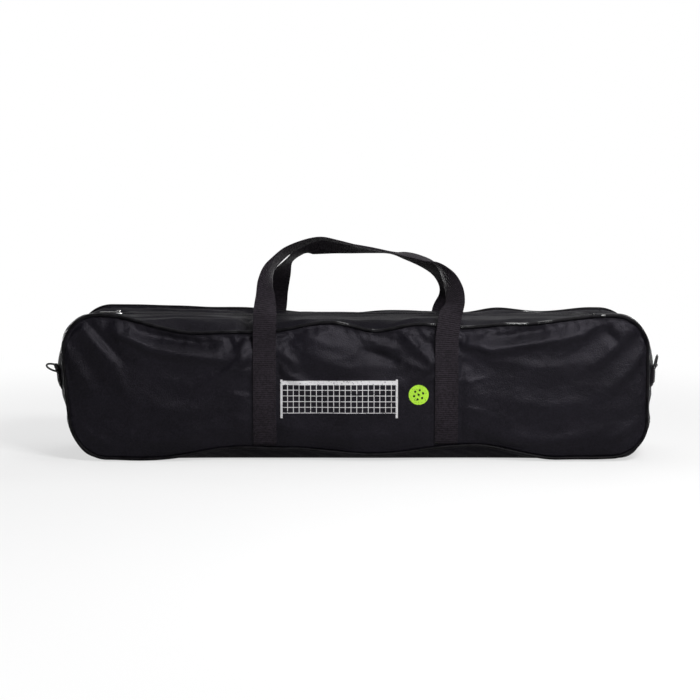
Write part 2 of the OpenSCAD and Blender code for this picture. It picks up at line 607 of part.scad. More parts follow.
// Fork that carries the net's top band on the middle post
fork_depth = 34;
fork_gap = 14;            // between the two tines
tine_t = 4;
tine_w = 16;
module net_fork() {
    color("#161618") lay(1, 0, centre_post_x - seat_gap / 3) {
        end_cap();
        for (s = [-1, 1])
            translate([-cap_t - fork_depth, s * (fork_gap + tine_t) / 2 - tine_t / 2, -tine_w / 2])
                cube([fork_depth + 0.01, tine_t, tine_w]);
    }
}
leg_gap = 2;              // between the plug ends of two legs in line
leg_x = -leg_gap / 2 - leg_len - leg_plug;
module end_leg(place, turned) {
    lay(2, place, leg_x, turned) tube(leg_len, leg_plug);
}
module centre_leg(place) {
    lay(2, place, -centre_leg_len / 2) tube(centre_leg_len, leg_plug);
}
cap_dome = 2;
module leg_caps() {
    color("#0f0f10") {
        for (place = [-1.5, 1.5]) for (turned = [false, true])
            lay(2, place, leg_x - seat_gap / 3, turned) end_cap(cap_dome);
        for (place = [-2.5, 2.5])
            lay(2, place, -centre_leg_len / 2 - seat_gap / 3) end_cap(cap_dome);
    }
}

// Base tee: sockets for two legs along X, one post and one or two crossbars
socket_bore = tube_d / 2 + seat_gap;
tee_y = socket_reach + seat_gap / 2;
net_end_gap = 16;         // from the left end seam to the net
net_tee_gap = 18;         // from the net to the base tees
net_x = -half_len + net_end_gap;
tee_x = net_x + net_len + net_tee_gap + socket_len / 2;
module base_tee(bars, post_dir) {
    color("#2a2b2e") difference() {
        union() {
            rotate([0, 90, 0]) cylinder(d = socket_d, h = socket_len, center = true);
            for (b = bars) rotate([-90 * b, 0, 0]) cylinder(d = socket_d, h = socket_reach);
            rotate([post_dir > 0 ? 0 : 180, 0, 0]) cylinder(d = socket_d, h = socket_reach);
        }
        rotate([0, 90, 0]) cylinder(r = socket_bore, h = socket_len + 1, center = true);
        for (b = bars) rotate([-90 * b, 0, 0]) cylinder(r = socket_bore, h = socket_reach + 1);
        rotate([post_dir > 0 ? 0 : 180, 0, 0]) cylinder(r = socket_bore, h = socket_reach + 1);
    }
}
tee_z = net_floor + socket_d / 2;
module left_base_tee() { translate([tee_x, -tee_y, tee_z]) base_tee([1], 1); }
module right_base_tee() { translate([tee_x, tee_y, tee_z]) base_tee([-1], 1); }
module centre_base_tee() {
    translate([tee_x, 0, tee_z + socket_reach + seat_gap + socket_d / 2]) base_tee([-1, 1], 1);
}

// ---------- the tied-up net ----------
tie_t = 2;
net_roundness = 0.42;     // corner radius as a share of the height
net_z = net_floor + tie_t + seat_gap + net_h / 2;
module net_section(grow = 0) {
    r = net_h * net_roundness + grow;
    w = net_w / 2 + grow;
    h = net_h / 2 + grow;
    for (sy = [-1, 1]) for (sz = [-1, 1]) translate([sy * (w - r), sz * (h - r)]) circle(r = r);
    square([2 * (w - r), 2 * h], center = true);
    square([2 * w, 2 * (h - r)], center = true);
}
module net_bundle() {
    color("#17171a") translate([0, 0, net_z]) along_bag(net_x, net_x + net_len) net_section();
}
module net_tie(share) {
    x = net_x + net_len * share - tie_w / 2;
    color("#101012") translate([0, 0, net_z]) along_bag(x, x + tie_w) difference() {
        net_section(tie_t + seat_gap);
        net_section(seat_gap);
    }
}

panel(-1);  // front_panel
panel(1);  // back_panel
gusset(base_from, base_to, base_rows_y, 2 * seat_gap / column_pitch);  // base_gusset
gusset(left_from, seam_n + base_from, end_rows_y);  // left_end_gusset
gusset(base_to, right_to, end_rows_y);  // right_end_gusset
top_strip(-1);  // top_front_strip
top_strip(1);  // top_back_strip
zip_tab(-1);  // left_zip_tab
zip_tab(1);  // right_zip_tab
piping(-1);  // front_piping
piping(1);  // back_piping
carry_strap(-1, -1);  // front_left_strap
carry_strap(-1, 1);  // front_right_strap
carry_strap(1, -1);  // back_left_strap
carry_strap(1, 1);  // back_right_strap
webbing(front_handle_path);  // front_handle
webbing(back_handle_path);  // back_handle
top_flap(-1);  // top_front_flap
top_flap(1);  // top_back_flap
zip_tape(-1);  // zip_front_tape
zip_tape(1);  // zip_back_tape
zip_teeth(-1);  // zip_front_teeth
zip_teeth(1);  // zip_back_teeth
zip_stop();
zip_slider();
zip_puller();
ring_tab(-1);  // left_ring_tab
ring_tab(1);  // right_ring_tab
d_ring(-1);  // left_d_ring
d_ring(1);  // right_d_ring
crossbar(0);  // crossbar_1
crossbar(1);  // crossbar_2
crossbar(2);  // crossbar_3
crossbar(3);  // crossbar_4
crossbar(4);  // crossbar_5
crossbar(5);  // crossbar_6
crossbar(6);  // crossbar_7
crossbar(7);  // crossbar_8
left_post();
right_post();
centre_post();
post_caps();
net_fork();
end_leg(-1.5, false);  // left_front_leg
end_leg(1.5, false);  // left_back_leg
end_leg(-1.5, true);  // right_front_leg
end_leg(1.5, true);  // right_back_leg
centre_leg(-2.5);  // centre_front_leg
centre_leg(2.5);  // centre_back_leg
leg_caps();
left_base_tee();
right_base_tee();
centre_base_tee();
net_bundle();
net_tie(0.22);  // net_tie_left
net_tie(0.78);  // net_tie_right
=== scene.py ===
"""Portable court net in its zipped carry bag: the looks of every piece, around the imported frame."""
import math

import bmesh
import bpy
import numpy as np
from mathutils import Matrix, Vector, noise


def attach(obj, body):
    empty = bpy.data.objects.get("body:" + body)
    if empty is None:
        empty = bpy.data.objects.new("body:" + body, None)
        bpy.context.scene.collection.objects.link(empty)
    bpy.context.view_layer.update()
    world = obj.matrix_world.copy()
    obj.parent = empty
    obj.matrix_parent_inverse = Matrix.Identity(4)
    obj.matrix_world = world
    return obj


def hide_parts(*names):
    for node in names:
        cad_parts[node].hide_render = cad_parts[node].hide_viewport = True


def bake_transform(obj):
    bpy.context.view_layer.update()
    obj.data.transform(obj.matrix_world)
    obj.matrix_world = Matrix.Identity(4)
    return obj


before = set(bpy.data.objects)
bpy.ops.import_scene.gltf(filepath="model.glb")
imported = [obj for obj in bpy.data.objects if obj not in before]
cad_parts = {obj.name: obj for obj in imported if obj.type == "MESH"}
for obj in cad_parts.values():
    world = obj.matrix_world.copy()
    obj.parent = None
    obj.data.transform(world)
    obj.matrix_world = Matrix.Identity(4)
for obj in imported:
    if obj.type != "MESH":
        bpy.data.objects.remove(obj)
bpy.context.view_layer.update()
bpy.ops.object.select_all(action="DESELECT")

MM = 0.001
FACES = ((-1, "front"), (1, "back"))
ENDS = ((-1, "left"), (1, "right"))

# ---------------- sizes, in millimetres
BAG_LEN, BAG_DEPTH, BAG_HEIGHT = 960.0, 190.0, 241.0
HALF_LEN, HALF_DEPTH = BAG_LEN / 2, BAG_DEPTH / 2
CORNER_R = 55.0
SEAM_SAG = 30.0
CLOTH_T = 1.6
PANEL_CROWN = 14.0
END_BULGE = 26.0
SLUMP_LEFT = 22.0
PIPING_R = 2.6
SEAT_GAP = 0.3
SEAM_Y = HALF_DEPTH - CLOTH_T - SEAT_GAP
SEAM_LIP, LIP_OUT = 2.2, 1.7      # how far the edge of a cloth goes on into the piping, along and across
TOP_FLAT = HALF_LEN - CORNER_R
BASE_FLAT = 55.0

STRAP_W, STRAP_T, STRAP_X = 38.0, 2.0, 150.0
STRAP_GAP = 0.6
STRAP_FOOT = 0.012                # where a strap starts, as a share of the panel's height
HANDLE_Z = 205.0

ZIP_Z, ZIP_LEN = 235.5, 820.0
FOLD_Y, FOLD_Z = 60.0, 233.0
FLAP_EDGE_Y = 9.0
FLAP_EDGE_Z = ZIP_Z + SEAT_GAP + CLOTH_T
FLAP_SLOPE = (FLAP_EDGE_Z - FOLD_Z) / (FOLD_Y - FLAP_EDGE_Y)
TAPE_T, TAPE_EDGE_Y, TAPE_W = 0.8, 1.4, 22.8
TOOTH_PITCH, TOOTH_N, TOOTH_HALF = 5.0, 159, 1.05
TOOTH_FROM = -ZIP_LEN / 2 + 12

TAB_W, TAB_T, TAB_LEN, TAB_Y = 25.0, 1.8, 34.0, 45.0
TAB_ROLL = {-1: math.radians(18), 1: 0.0}      # sewn out of level
RING_Z = {-1: 150.0, 1: 154.0}
RING_WIRE_R = 1.6
LOOP_R = RING_WIRE_R + SEAT_GAP

NET_X, NET_LEN, NET_Z, NET_W, NET_H = -464.0, 780.0, 131.69, 126.0, 100.0
TIE_W, TIE_T = 38.0, 1.1
TIES = ((0.22, "left"), (0.78, "right"))       # places along the net, as shares of its length

# Waves of the long seams: [share of the half length, share of SEAM_SAG]
FRONT_TOP = [(-0.87, 0), (-0.56, 0.97), (-0.33, 0.93), (-0.08, 0.4), (0.065, 0.87), (0.22, 0.5),
             (0.36, 0.67), (0.55, 0.5), (0.88, 0.03)]
BACK_TOP = [(-0.85, 0), (-0.42, 0.17), (-0.06, 0.57), (0.13, 0.33), (0.38, 0.47), (0.52, 0.2),
            (0.68, 0.4), (0.86, 0.17)]
FRONT_BASE = [(-0.95, 0.27), (-0.72, 0.23), (-0.39, 0.87), (-0.22, 0.8), (0.06, 0.47),
              (0.40, 1), (0.70, 0.27), (0.95, 0.33)]
BACK_BASE = [(-0.95, 0.27), (-0.5, 0.8), (-0.1, 0.4), (0.3, 0.87), (0.7, 0.33), (0.95, 0.33)]
END_BELLY = [(0, 0.5), (0.12, 0.66), (0.3, 0.75), (0.62, 1), (0.82, 0.62), (1, 0.1)]


# ---------------- camera
bpy.ops.object.camera_add(location=(-0.009075, -3.07857, 0.4994), rotation=(math.radians(84), 0, 0))
camera = bpy.context.object
camera.data.lens = 93.5
bpy.context.scene.camera = camera


# ---------------- material maths
def operator(operation, swapped=False):
    """A method of Signal that adds the Math node of a Python operator."""
    def method(self, other):
        values = (other, self) if swapped else (self, other)
        return self.node("Math", {"operation": operation}, dict(enumerate(values)))
    return method


class Signal:
    """One value in a material's nodes, so that its maths reads as Python."""

    def __init__(self, tree, socket):
        self.tree, self.socket = tree, socket

    __add__ = __radd__ = operator("ADD")
    __mul__ = __rmul__ = operator("MULTIPLY")
    __sub__ = operator("SUBTRACT")
    __rsub__ = operator("SUBTRACT", swapped=True)
    __truediv__ = operator("DIVIDE")
    __gt__ = operator("GREATER_THAN")
    __lt__ = operator("LESS_THAN")

    def node(self, kind, settings=(), inputs=(), out=0):
        return add_node(self.tree, kind, settings, inputs, out)

    def math(self, operation, *others):
        return self.node("Math", {"operation": operation}, dict(enumerate((self, *others))))

    def ramp(self, low, high):
        """0 below low, 1 above high, smooth between; low may be the larger."""
        return self.node("MapRange", {"interpolation_type": "SMOOTHSTEP"},
                         {"Value": self, "From Min": low, "From Max": high})


def add_node(tree, kind, settings=(), inputs=(), out=0):
    """A node of a kind, with its settings and the values or links of its sockets; gives one output."""
    node = tree.nodes.new("ShaderNode" + kind)
    for name, value in dict(settings).items():
        setattr(node, name, value)
    for name, value in dict(inputs).items():
        set_socket(tree, node.inputs[name], value)
    return Signal(tree, node.outputs[out])


def set_socket(tree, socket, value):
    if isinstance(value, Signal):
        tree.links.new(value.socket, socket)
    else:
        rgba = socket.type == "RGBA" and len(value) == 3
        socket.default_value = (*value, 1) if rgba else value


class Finish:
    """A material with its surface shader."""

    def __init__(self, name, slot, **surface):
        self.slot = slot
        self.material = bpy.data.materials.new(name)
        self.material.use_nodes = True
        self.tree = self.material.node_tree
        self.shader = self.tree.nodes["Principled BSDF"]
        for socket, value in surface.items():
            self.set(socket.replace("_", " "), value)

    def set(self, socket, value):
        set_socket(self.tree, self.shader.inputs[socket], value)

    def dress(self, colour, roughness, normal):
        for socket, value in (("Base Color", colour), ("Roughness", roughness), ("Normal", normal)):
            self.set(socket, value)
        return self

    def add(self, kind, settings=(), inputs=(), out=0):
        return add_node(self.tree, kind, settings, inputs, out)

    def parts(self, spot, count):
        return [self.add("SeparateXYZ", inputs={0: spot}, out=i) for i in range(count)]

    def place(self):
        """x, y and z of the object's own coordinates, in metres."""
        return self.parts(self.add("TexCoord", out=3), 3)

    def cloth_uv(self):
        """Metres across and along the cloth."""
        return self.parts(self.add("UVMap", {"uv_map": "weave"}), 2)

    def blotches(self, scale, detail=3.0, rough=0.55):
        spot = self.add("TexCoord", out=3)
        return self.add("TexNoise",
                        inputs={"Vector": spot, "Scale": scale, "Detail": detail, "Roughness": rough})

    def mix(self, share, a, b):
        return self.add("Mix", {"data_type": "RGBA"}, {0: share, 6: a, 7: b}, out=2)

    def bump(self, height, depth, strength=1.0, under=None):
        inputs = {"Height": height, "Distance": depth, "Strength": strength}
        if under is not None:
            inputs["Normal"] = under
        return self.add("Bump", inputs=inputs)

    def wear(self):
        """1 on sharp outer edges."""
        return self.add("NewGeometry", out=7).ramp(0.504, 0.548)


def brighter(colour, gain):
    return tuple(min(1, c * gain + 0.004) for c in colour)


def plain_weave(finish, pitch):
    """Height of a plain weave, 0 to 1, with threads every pitch metres."""
    u, v = finish.cloth_uv()
    across = (u * (math.pi / pitch)).math("SINE")
    along = (v * (math.pi / pitch)).math("SINE")
    over = (across * along) > 0.0
    warp = across * across
    weft = along * along
    return over * warp + (1 - over) * weft


def cloth_finish(name, slot, dark, light, pitch=0.00085, roughness=0.40, shine=0.095):
    """Coated cloth: weave, slubs, soft clouds and a little dust."""
    finish = Finish(name, slot, Specular_IOR_Level=shine, Specular_Tint=(0.98, 0.93, 1.06))
    weave = plain_weave(finish, pitch)
    cloudy = finish.blotches(9.0, 5.0).ramp(0.35, 0.68)
    slubs = finish.blotches(330.0, 3.0, 0.7).ramp(0.3, 0.7)
    dusty = finish.blotches(34.0, 6.0, 0.7).ramp(0.55, 0.8)
    colour = finish.mix(cloudy * 0.3 + slubs * 0.5 + 0.1, dark, light)
    colour = finish.mix(dusty * 0.16, colour, brighter(light, 1.8))
    crumpled = finish.bump(finish.blotches(60.0, 2.0, 0.5), 0.0009, 0.5)
    coarse = finish.bump(finish.blotches(450.0, 1.0, 0.6), 0.0006, 1.0, crumpled)
    roughness = roughness + 0.08 * slubs - 0.05 * cloudy
    return finish.dress(colour, roughness, finish.bump(weave, 0.00005, 1.0, coarse))


# The print on the front, in metres: edges of the net, its mesh and cords, and the ball with its holes
NET_LEFT, NET_RIGHT, NET_LOW, NET_HIGH = -0.122, 0.068, 0.082, 0.136
NET_MESH, NET_CORD, NET_TAPE = 0.0095, 0.0011, 0.007
POST_HALF_W, POST_FOOT, POST_TOP = 0.0018, 0.008, 0.002
BALL_X, BALL_Z, BALL_R, BALL_HOLE_R = 0.104, 0.113, 0.0165, 0.0019
BALL_HOLES = [(0.0, 0.0)] + [(0.0078 * math.cos(turn), 0.0078 * math.sin(turn))
                             for turn in (math.pi / 3 * k + 0.3 for k in range(6))]
INK_WHITE, INK_GREEN = (0.50, 0.49, 0.50), (0.29, 0.52, 0.035)


def printed_cloth():
    """The bag cloth with a plain net-and-ball motif printed between the straps."""
    finish = cloth_finish("printed_bag_cloth", "bag_cloth", *BAG_CLOTH)
    x, _, z = finish.place()
    width = (x > NET_LEFT) * (x < NET_RIGHT)
    below_top = z < NET_HIGH
    inside = width * ((z > NET_LOW) * below_top)
    across = ((x - NET_LEFT) / NET_MESH).math("FRACT")
    up = ((z - NET_LOW) / NET_MESH).math("FRACT")
    cords = ((across < NET_CORD / NET_MESH) + (up < NET_CORD / NET_MESH)).math("MINIMUM", 1.0)
    tape = ((z > NET_HIGH - NET_TAPE) * below_top) * width
    posts = sum((x - middle).math("ABSOLUTE") < POST_HALF_W for middle in (NET_LEFT, NET_RIGHT))
    posts = posts * ((z > NET_LOW - POST_FOOT) * (z < NET_HIGH + POST_TOP))
    net = (inside * cords + tape + posts).math("MINIMUM", 1.0)
    dx, dz = x - BALL_X, z - BALL_Z

    def disc(at_x, at_z, radius):
        return ((dx - at_x).math("POWER", 2.0) + (dz - at_z).math("POWER", 2.0)).math("SQRT") < radius

    ball = disc(0, 0, BALL_R) * (1 - sum(disc(*hole, BALL_HOLE_R) for hole in BALL_HOLES))
    worn = finish.blotches(420.0, 2.0).ramp(0.3, 0.42)
    cloth_colour = Signal(finish.tree, finish.shader.inputs["Base Color"].links[0].from_socket)
    colour = finish.mix(net * worn * 0.82, cloth_colour, INK_WHITE)
    finish.set("Base Color", finish.mix(ball * worn * 0.9, colour, INK_GREEN))
    return finish


def webbing_finish(name, slot, dark, light):
    """Ribs across the webbing, with fine warp lines along it."""
    finish = Finish(name, slot, Specular_IOR_Level=0.1, Specular_Tint=(1.0, 0.9, 1.0))
    u, v = finish.cloth_uv()
    rib = (v * (2 * math.pi / 0.0034)).math("SINE") * 0.5 + 0.5
    warp = (u * (2 * math.pi / 0.0013)).math("SINE") * 0.5 + 0.5
    slubs = finish.blotches(300.0, 2.0, 0.7)
    cloudy = finish.blotches(14.0, 4.0).ramp(0.35, 0.7)
    colour = finish.mix(rib * 0.38 + cloudy * 0.12 + slubs.ramp(0.36, 0.64) * 0.5, dark, light)
    return finish.dress(colour, 0.66 + 0.12 * slubs - 0.1 * cloudy,
                        finish.bump(rib * 0.8 + warp * 0.2 + slubs * 0.9, 0.00045))


def smooth_finish(name, slot, colour, roughness, grain=0.25, grain_scale=900.0, depth=0.00006,
                  worn=None, **surface):
    """Paint, plastic, rubber or plated metal with a fine grain, and worn edges if asked."""
    finish = Finish(name, slot, **surface)
    speckle = finish.blotches(grain_scale, 3.0)
    cloudy = finish.blotches(28.0, 4.0)
    tone = finish.mix(cloudy * 0.6 + speckle * 0.2, colour, brighter(colour, 1.5))
    if worn:
        rubbed = finish.wear() * finish.blotches(160.0, 4.0).ramp(0.42, 0.6)
        tone = finish.mix(rubbed * 0.7, tone, worn)
    roughness = roughness + grain * 0.3 * (speckle - 0.5) + 0.08 * (cloudy - 0.5)
    return finish.dress(tone, roughness, finish.bump(speckle, depth, grain))


def netting_finish():
    """Knotted netting rolled up: diamonds of cord, with painted shade in the gaps between them."""
    finish = Finish("rolled_netting", "net_cord", Specular_IOR_Level=0.3, Sheen_Weight=0.1)
    u, v = finish.cloth_uv()
    mesh = 0.011
    rising, falling = (((u + way * v) * (math.pi / mesh)).math("SINE").math("ABSOLUTE") for way in (1, -1))
    cord = 1 - rising.math("MINIMUM", falling).ramp(0.10, 0.34)
    slubs = finish.blotches(600.0, 2.0)
    # the gaps between the cords are painted dark, as painted shade of the layers beneath
    colour = finish.mix(cord, (0.012, 0.012, 0.013), (0.10, 0.098, 0.104))
    return finish.dress(colour, 0.75 - 0.1 * cord, finish.bump(cord + slubs * 0.25, 0.0014, 0.9))


def piping_finish(name, clean):
    """Vinyl cord, dull where it has rubbed and glossy along its clean stretches, (x, half length)."""
    finish = Finish(name, "piping", Specular_IOR_Level=0.045, Coat_Roughness=0.12)
    x, _, z = finish.place()
    grain = finish.blotches(700.0, 2.0)
    scuffed = finish.blotches(70.0, 2.0).ramp(0.40, 0.56)
    gloss = sum((x - middle).math("ABSOLUTE").ramp(reach, reach * 0.6) * (z > 0.1) for middle, reach in clean)
    finish.set("Coat Weight", gloss * (1 - 0.75 * scuffed) * 0.8)
    colour = finish.mix(scuffed, (0.002, 0.0018, 0.0023), (0.005, 0.0046, 0.0055))
    return finish.dress(colour, 0.42 + 0.1 * scuffed + 0.08 * grain,
                        finish.bump(finish.blotches(160.0, 2.0), 0.0003, 0.3))


BAG_CLOTH = (0.0010, 0.0009, 0.0014), (0.0074, 0.0066, 0.0094)
DULL = {"roughness": 0.52, "shine": 0.045}
# Clean stretches of the cords along the top seam
FRONT_CLEAN = [(-0.021, 0.013), (0.032, 0.006), (0.125, 0.008), (0.184, 0.013),
               (0.264, 0.024), (0.313, 0.016), (0.408, 0.004), (-0.2, 0.006)]
BACK_CLEAN = [(0.31, 0.02), (-0.12, 0.02)]

FINISHES = {
    "printed": printed_cloth(),
    "cloth": cloth_finish("bag_cloth_finish", "bag_cloth", *BAG_CLOTH),
    "top": cloth_finish("top_cloth_finish", "bag_cloth", *BAG_CLOTH, **DULL),
    "gusset": cloth_finish("gusset_cloth", "bag_cloth", *BAG_CLOTH, **DULL),
    "webbing": webbing_finish("carry_webbing", "webbing", (0.0012, 0.0010, 0.0014),
                              (0.0150, 0.0122, 0.0158)),
    "tape": webbing_finish("woven_zip_tape", "zip_tape", (0.0015, 0.0013, 0.0018), (0.008, 0.007, 0.009)),
    "front_piping": piping_finish("vinyl_front_piping", FRONT_CLEAN),
    "back_piping": piping_finish("vinyl_back_piping", BACK_CLEAN),
    "teeth": smooth_finish("moulded_teeth", "zip_teeth", (0.005, 0.005, 0.0055), 0.52, 0.3,
                           Specular_IOR_Level=0.12),
    "nickel": smooth_finish("bright_nickel", "zip_metal", (0.66, 0.66, 0.68), 0.2, 0.2, 700.0, 0.00004,
                            worn=(0.45, 0.43, 0.40), Metallic=1.0),
    "ring": smooth_finish("black_plate", "ring_wire", (0.006, 0.006, 0.0065), 0.42, 0.2, 800.0, 0.00004,
                          worn=(0.06, 0.058, 0.056), Specular_IOR_Level=0.14),
    "gunmetal": smooth_finish("dark_plate", "zip_metal", (0.06, 0.06, 0.064), 0.36, 0.2, 700.0, 0.00004,
                              worn=(0.3, 0.29, 0.27), Metallic=1.0),
    "tube": smooth_finish("powder_coat", "tube_paint", (0.034, 0.034, 0.037), 0.42, 0.6, 1100.0, 0.00012,
                          worn=(0.22, 0.22, 0.225)),
    "plastic": smooth_finish("black_moulding", "black_plastic", (0.013, 0.013, 0.014), 0.46, 0.45, 1300.0,
                             0.0001),
    "rubber": smooth_finish("cap_rubber", "rubber_caps", (0.011, 0.011, 0.011), 0.78, 0.5, 700.0, 0.0001),
    "net": netting_finish(),
    "tape_band": cloth_finish("net_top_tape", "net_cord", (0.50, 0.50, 0.49), (0.62, 0.62, 0.60),
                              pitch=0.0011, roughness=0.5),
    "tie": webbing_finish("hook_and_loop", "tie_strap", (0.007, 0.007, 0.008), (0.017, 0.017, 0.018)),
    "thread": smooth_finish("sewing_thread", "webbing", (0.0055, 0.005, 0.006), 0.7, 0.4, 2000.0, 0.00005,
                            Specular_IOR_Level=0.08),
}


# ---------------- curves and outlines
def blend(a, b, t):
    return a + (b - a) * t


def ease(t):
    t = np.clip(t, 0, 1)
    return t * t * (3 - 2 * t)


def near(distance, reach):
    return np.exp(-(distance / reach) ** 2)


def unit(vectors):
    return vectors / np.linalg.norm(vectors, axis=-1)[..., None]


def run_length(points):
    """Distance travelled along the first axis of points, from 0."""
    steps = np.linalg.norm(np.diff(points, axis=0), axis=-1)
    return np.concatenate([0 * steps[:1], np.cumsum(steps, axis=0)])


def wave(x, table):
    """Smooth curve through the table's heights, level at each of them."""
    at, height = np.array(table, float).T
    x = np.clip(x, at[0], at[-1])
    i = np.clip(np.searchsorted(at, x) - 1, 0, len(at) - 2)
    return blend(height[i], height[i + 1], ease((x - at[i]) / (at[i + 1] - at[i])))


def through(points, u):
    """Smooth curve through a list of points, at places counted in stations."""
    points = np.asarray(points, float)
    last = len(points) - 1
    i = np.minimum(last - 1, np.floor(u).astype(int))
    t = (u - i)[:, None]
    a, b = points[np.maximum(0, i - 1)], points[i]
    c, d = points[i + 1], points[np.minimum(last, i + 2)]
    return 0.5 * (2 * b + (c - a) * t + (2 * a - 5 * b + 4 * c - d) * t ** 2
                  + (3 * b - a - 3 * c + d) * t ** 3)


def corner_inset(x):
    s = np.minimum(x + HALF_LEN, HALF_LEN - x)
    return np.where(s >= CORNER_R, 0,
                    CORNER_R - np.sqrt(np.maximum(0, CORNER_R ** 2 - (CORNER_R - s) ** 2)))


def top_z(face, x):
    return BAG_HEIGHT - SEAM_SAG * wave(x / HALF_LEN, FRONT_TOP if face < 0 else BACK_TOP) - corner_inset(x)


def base_z(face, x):
    return SEAM_SAG * wave(x / HALF_LEN, FRONT_BASE if face < 0 else BACK_BASE) + corner_inset(x)


def slumped(x, z):
    share = np.maximum(0, 1 - z / BAG_HEIGHT) ** 2.5 * (np.abs(x) / HALF_LEN) ** 4
    return x + np.where(x < 0, SLUMP_LEFT, 0) * share


def crown(x, v):
    return PANEL_CROWN * (1 - np.abs(2 * v - 1) ** 3) * (1 - (np.abs(x) / HALF_LEN) ** 6)


def end_roundness(y):
    return 1 - (np.abs(y) / HALF_DEPTH) ** 1.6


def strap_share(face, x):
    """How far up the panel, as a share, a strap reaches at its handle."""
    return (HANDLE_Z - base_z(face, x)) / (top_z(face, x) - base_z(face, x))


# A strap stands straight above the belly of the panel, so that its handle's two ends line up
STRAP_OUT = STRAP_GAP + max(crown(x, strap_share(face, x)) for face, _ in FACES for x in (-STRAP_X, STRAP_X))
LEG_Y = HALF_DEPTH + STRAP_OUT + STRAP_T / 2

CORNER_STEPS, STRAIGHT_STEPS, PANEL_ROWS = 20, 280, 72
corner = np.array([-HALF_LEN + CORNER_R * (1 - math.cos(math.pi / 2 * i / CORNER_STEPS))
                   for i in range(CORNER_STEPS + 1)])
COLUMNS = np.concatenate([corner, np.linspace(-TOP_FLAT, TOP_FLAT, STRAIGHT_STEPS + 1)[1:-1],
                          -corner[::-1]])
ROWS = np.linspace(0, 1, PANEL_ROWS + 1)
ACROSS = np.linspace(-SEAM_Y, SEAM_Y, 73)


def panel_xz(face, x, v):
    z = blend(base_z(face, x), top_z(face, x), v)
    return slumped(x, z), z


def seam(face):
    """x and z along a panel's whole edge: base, right end, top, left end."""
    inner = ROWS[1:-1]
    parts = [panel_xz(face, COLUMNS, 0 * COLUMNS),
             panel_xz(face, np.full(len(inner), HALF_LEN), inner),
             panel_xz(face, COLUMNS[::-1], np.ones(len(COLUMNS))),
             panel_xz(face, np.full(len(inner), -HALF_LEN), inner[::-1])]
    return np.concatenate([np.stack(p, axis=1) for p in parts])


def seam_normals(loop):
    along = unit(np.roll(loop, -1, axis=0) - np.roll(loop, 1, axis=0))
    return np.stack([along[:, 1], -along[:, 0]], axis=1)


SEAMS = {face: seam(face) for face, _ in FACES}
NORMALS = {face: seam_normals(SEAMS[face]) for face, _ in FACES}
SEAM_N = len(SEAMS[1])
# Where the base, right end and left end begin and stop, counted along the seam
BASE_FROM = CORNER_STEPS
BASE_TO = len(COLUMNS) - 1 - CORNER_STEPS
RIGHT_TO = len(COLUMNS) + PANEL_ROWS - 1 + CORNER_STEPS
LEFT_FROM = SEAM_N - PANEL_ROWS - CORNER_STEPS
LEVEL_SHARE = 0.12                # below this, squared, a seam's lean counts as level


def top_cloth_z(y, seam_z):
    """Height of the top cloth: it sags from the seam to the flap's fold, then climbs to the zip."""
    y = np.abs(y)
    s = (SEAM_Y - y) / (SEAM_Y - FOLD_Y)
    sloped = FOLD_Z + (FOLD_Y - np.maximum(y, FLAP_EDGE_Y)) * FLAP_SLOPE
    return np.where(y > FOLD_Y, blend(seam_z, FOLD_Z, s) + 2.5 * np.sin(np.pi * s), sloped)


def gusset_grid(start, stop):
    """Points of the cloth between the two seams, and its outward direction."""
    u = np.arange(start, stop + 1) % SEAM_N
    side = (ACROSS / HALF_DEPTH + 1) / 2
    p = blend(SEAMS[-1][u][:, None], SEAMS[1][u][:, None], side[None, :, None])
    n = unit(blend(NORMALS[-1][u][:, None], NORMALS[1][u][:, None], side[None, :, None]))
    end = np.maximum(0, n[..., 0] ** 2 - LEVEL_SHARE) / (1 - LEVEL_SHARE)
    y = ACROSS[None, :] + 0 * end
    round_base = 1 - (np.maximum(0, np.abs(y) - BASE_FLAT) / (HALF_DEPTH - BASE_FLAT)) ** 2.2
    z = p[..., 1]
    out = end * END_BULGE * wave(z / BAG_HEIGHT, END_BELLY) * end_roundness(y)
    lift = np.where(z < BAG_HEIGHT / 2, -z * round_base, top_cloth_z(y, z) - z)
    points = np.stack([p[..., 0] + n[..., 0] * out, y,
                       np.maximum(0, z + lift * (1 - end) + n[..., 1] * out)], axis=2)
    return points, np.stack([n[..., 0], 0 * y, n[..., 1]], axis=2)


# ---------------- folds
def strokes(x, z, table):
    """Height of listed folds. A stroke is (points, width on its left, width on its right, height)."""
    height = np.zeros_like(x)
    for points, left, right, tall in table:
        points = np.array(points, float)
        best = np.full(x.shape, 1e9)
        gain = np.zeros_like(x)
        total = np.linalg.norm(np.diff(points, axis=0), axis=1).sum()
        gone = 0.0
        for a, b in zip(points[:-1], points[1:]):
            d = b - a
            length = math.hypot(*d)
            t = np.clip(((x - a[0]) * d[0] + (z - a[1]) * d[1]) / length ** 2, 0, 1)
            off = np.hypot(x - a[0] - t * d[0], z - a[1] - t * d[1])
            on_left = (z - a[1]) * d[0] - (x - a[0]) * d[1] > 0
            width = np.where(on_left, left, right)
            taper = np.sin(np.pi * np.clip((gone + t * length) / total, 0.04, 0.96)) ** 0.55
            closer = off < best
            best = np.where(closer, off, best)
            gain = np.where(closer, taper * np.exp(-(off / width) ** 1.7), gain)
            gone += length
        height += tall * gain
    return height


def crumple(x, z, scale, seed, stretch=(1.0, 1.0)):
    """Soft random creases, 0 at their mean, about 1 tall."""
    flat = np.empty(x.size)
    for i, (a, b) in enumerate(zip(x.ravel(), z.ravel())):
        spot = Vector((a * stretch[0] / scale, b * stretch[1] / scale, seed))
        total, gain = 0.0, 1.0
        for _ in range(3):
            total += gain * (1 - 2 * abs(noise.noise(spot)))
            spot = spot * 2.03 + Vector((3.1, 1.7, 0.4))
            gain *= 0.5
        flat[i] = total / 1.75
    return flat.reshape(x.shape) - 0.62


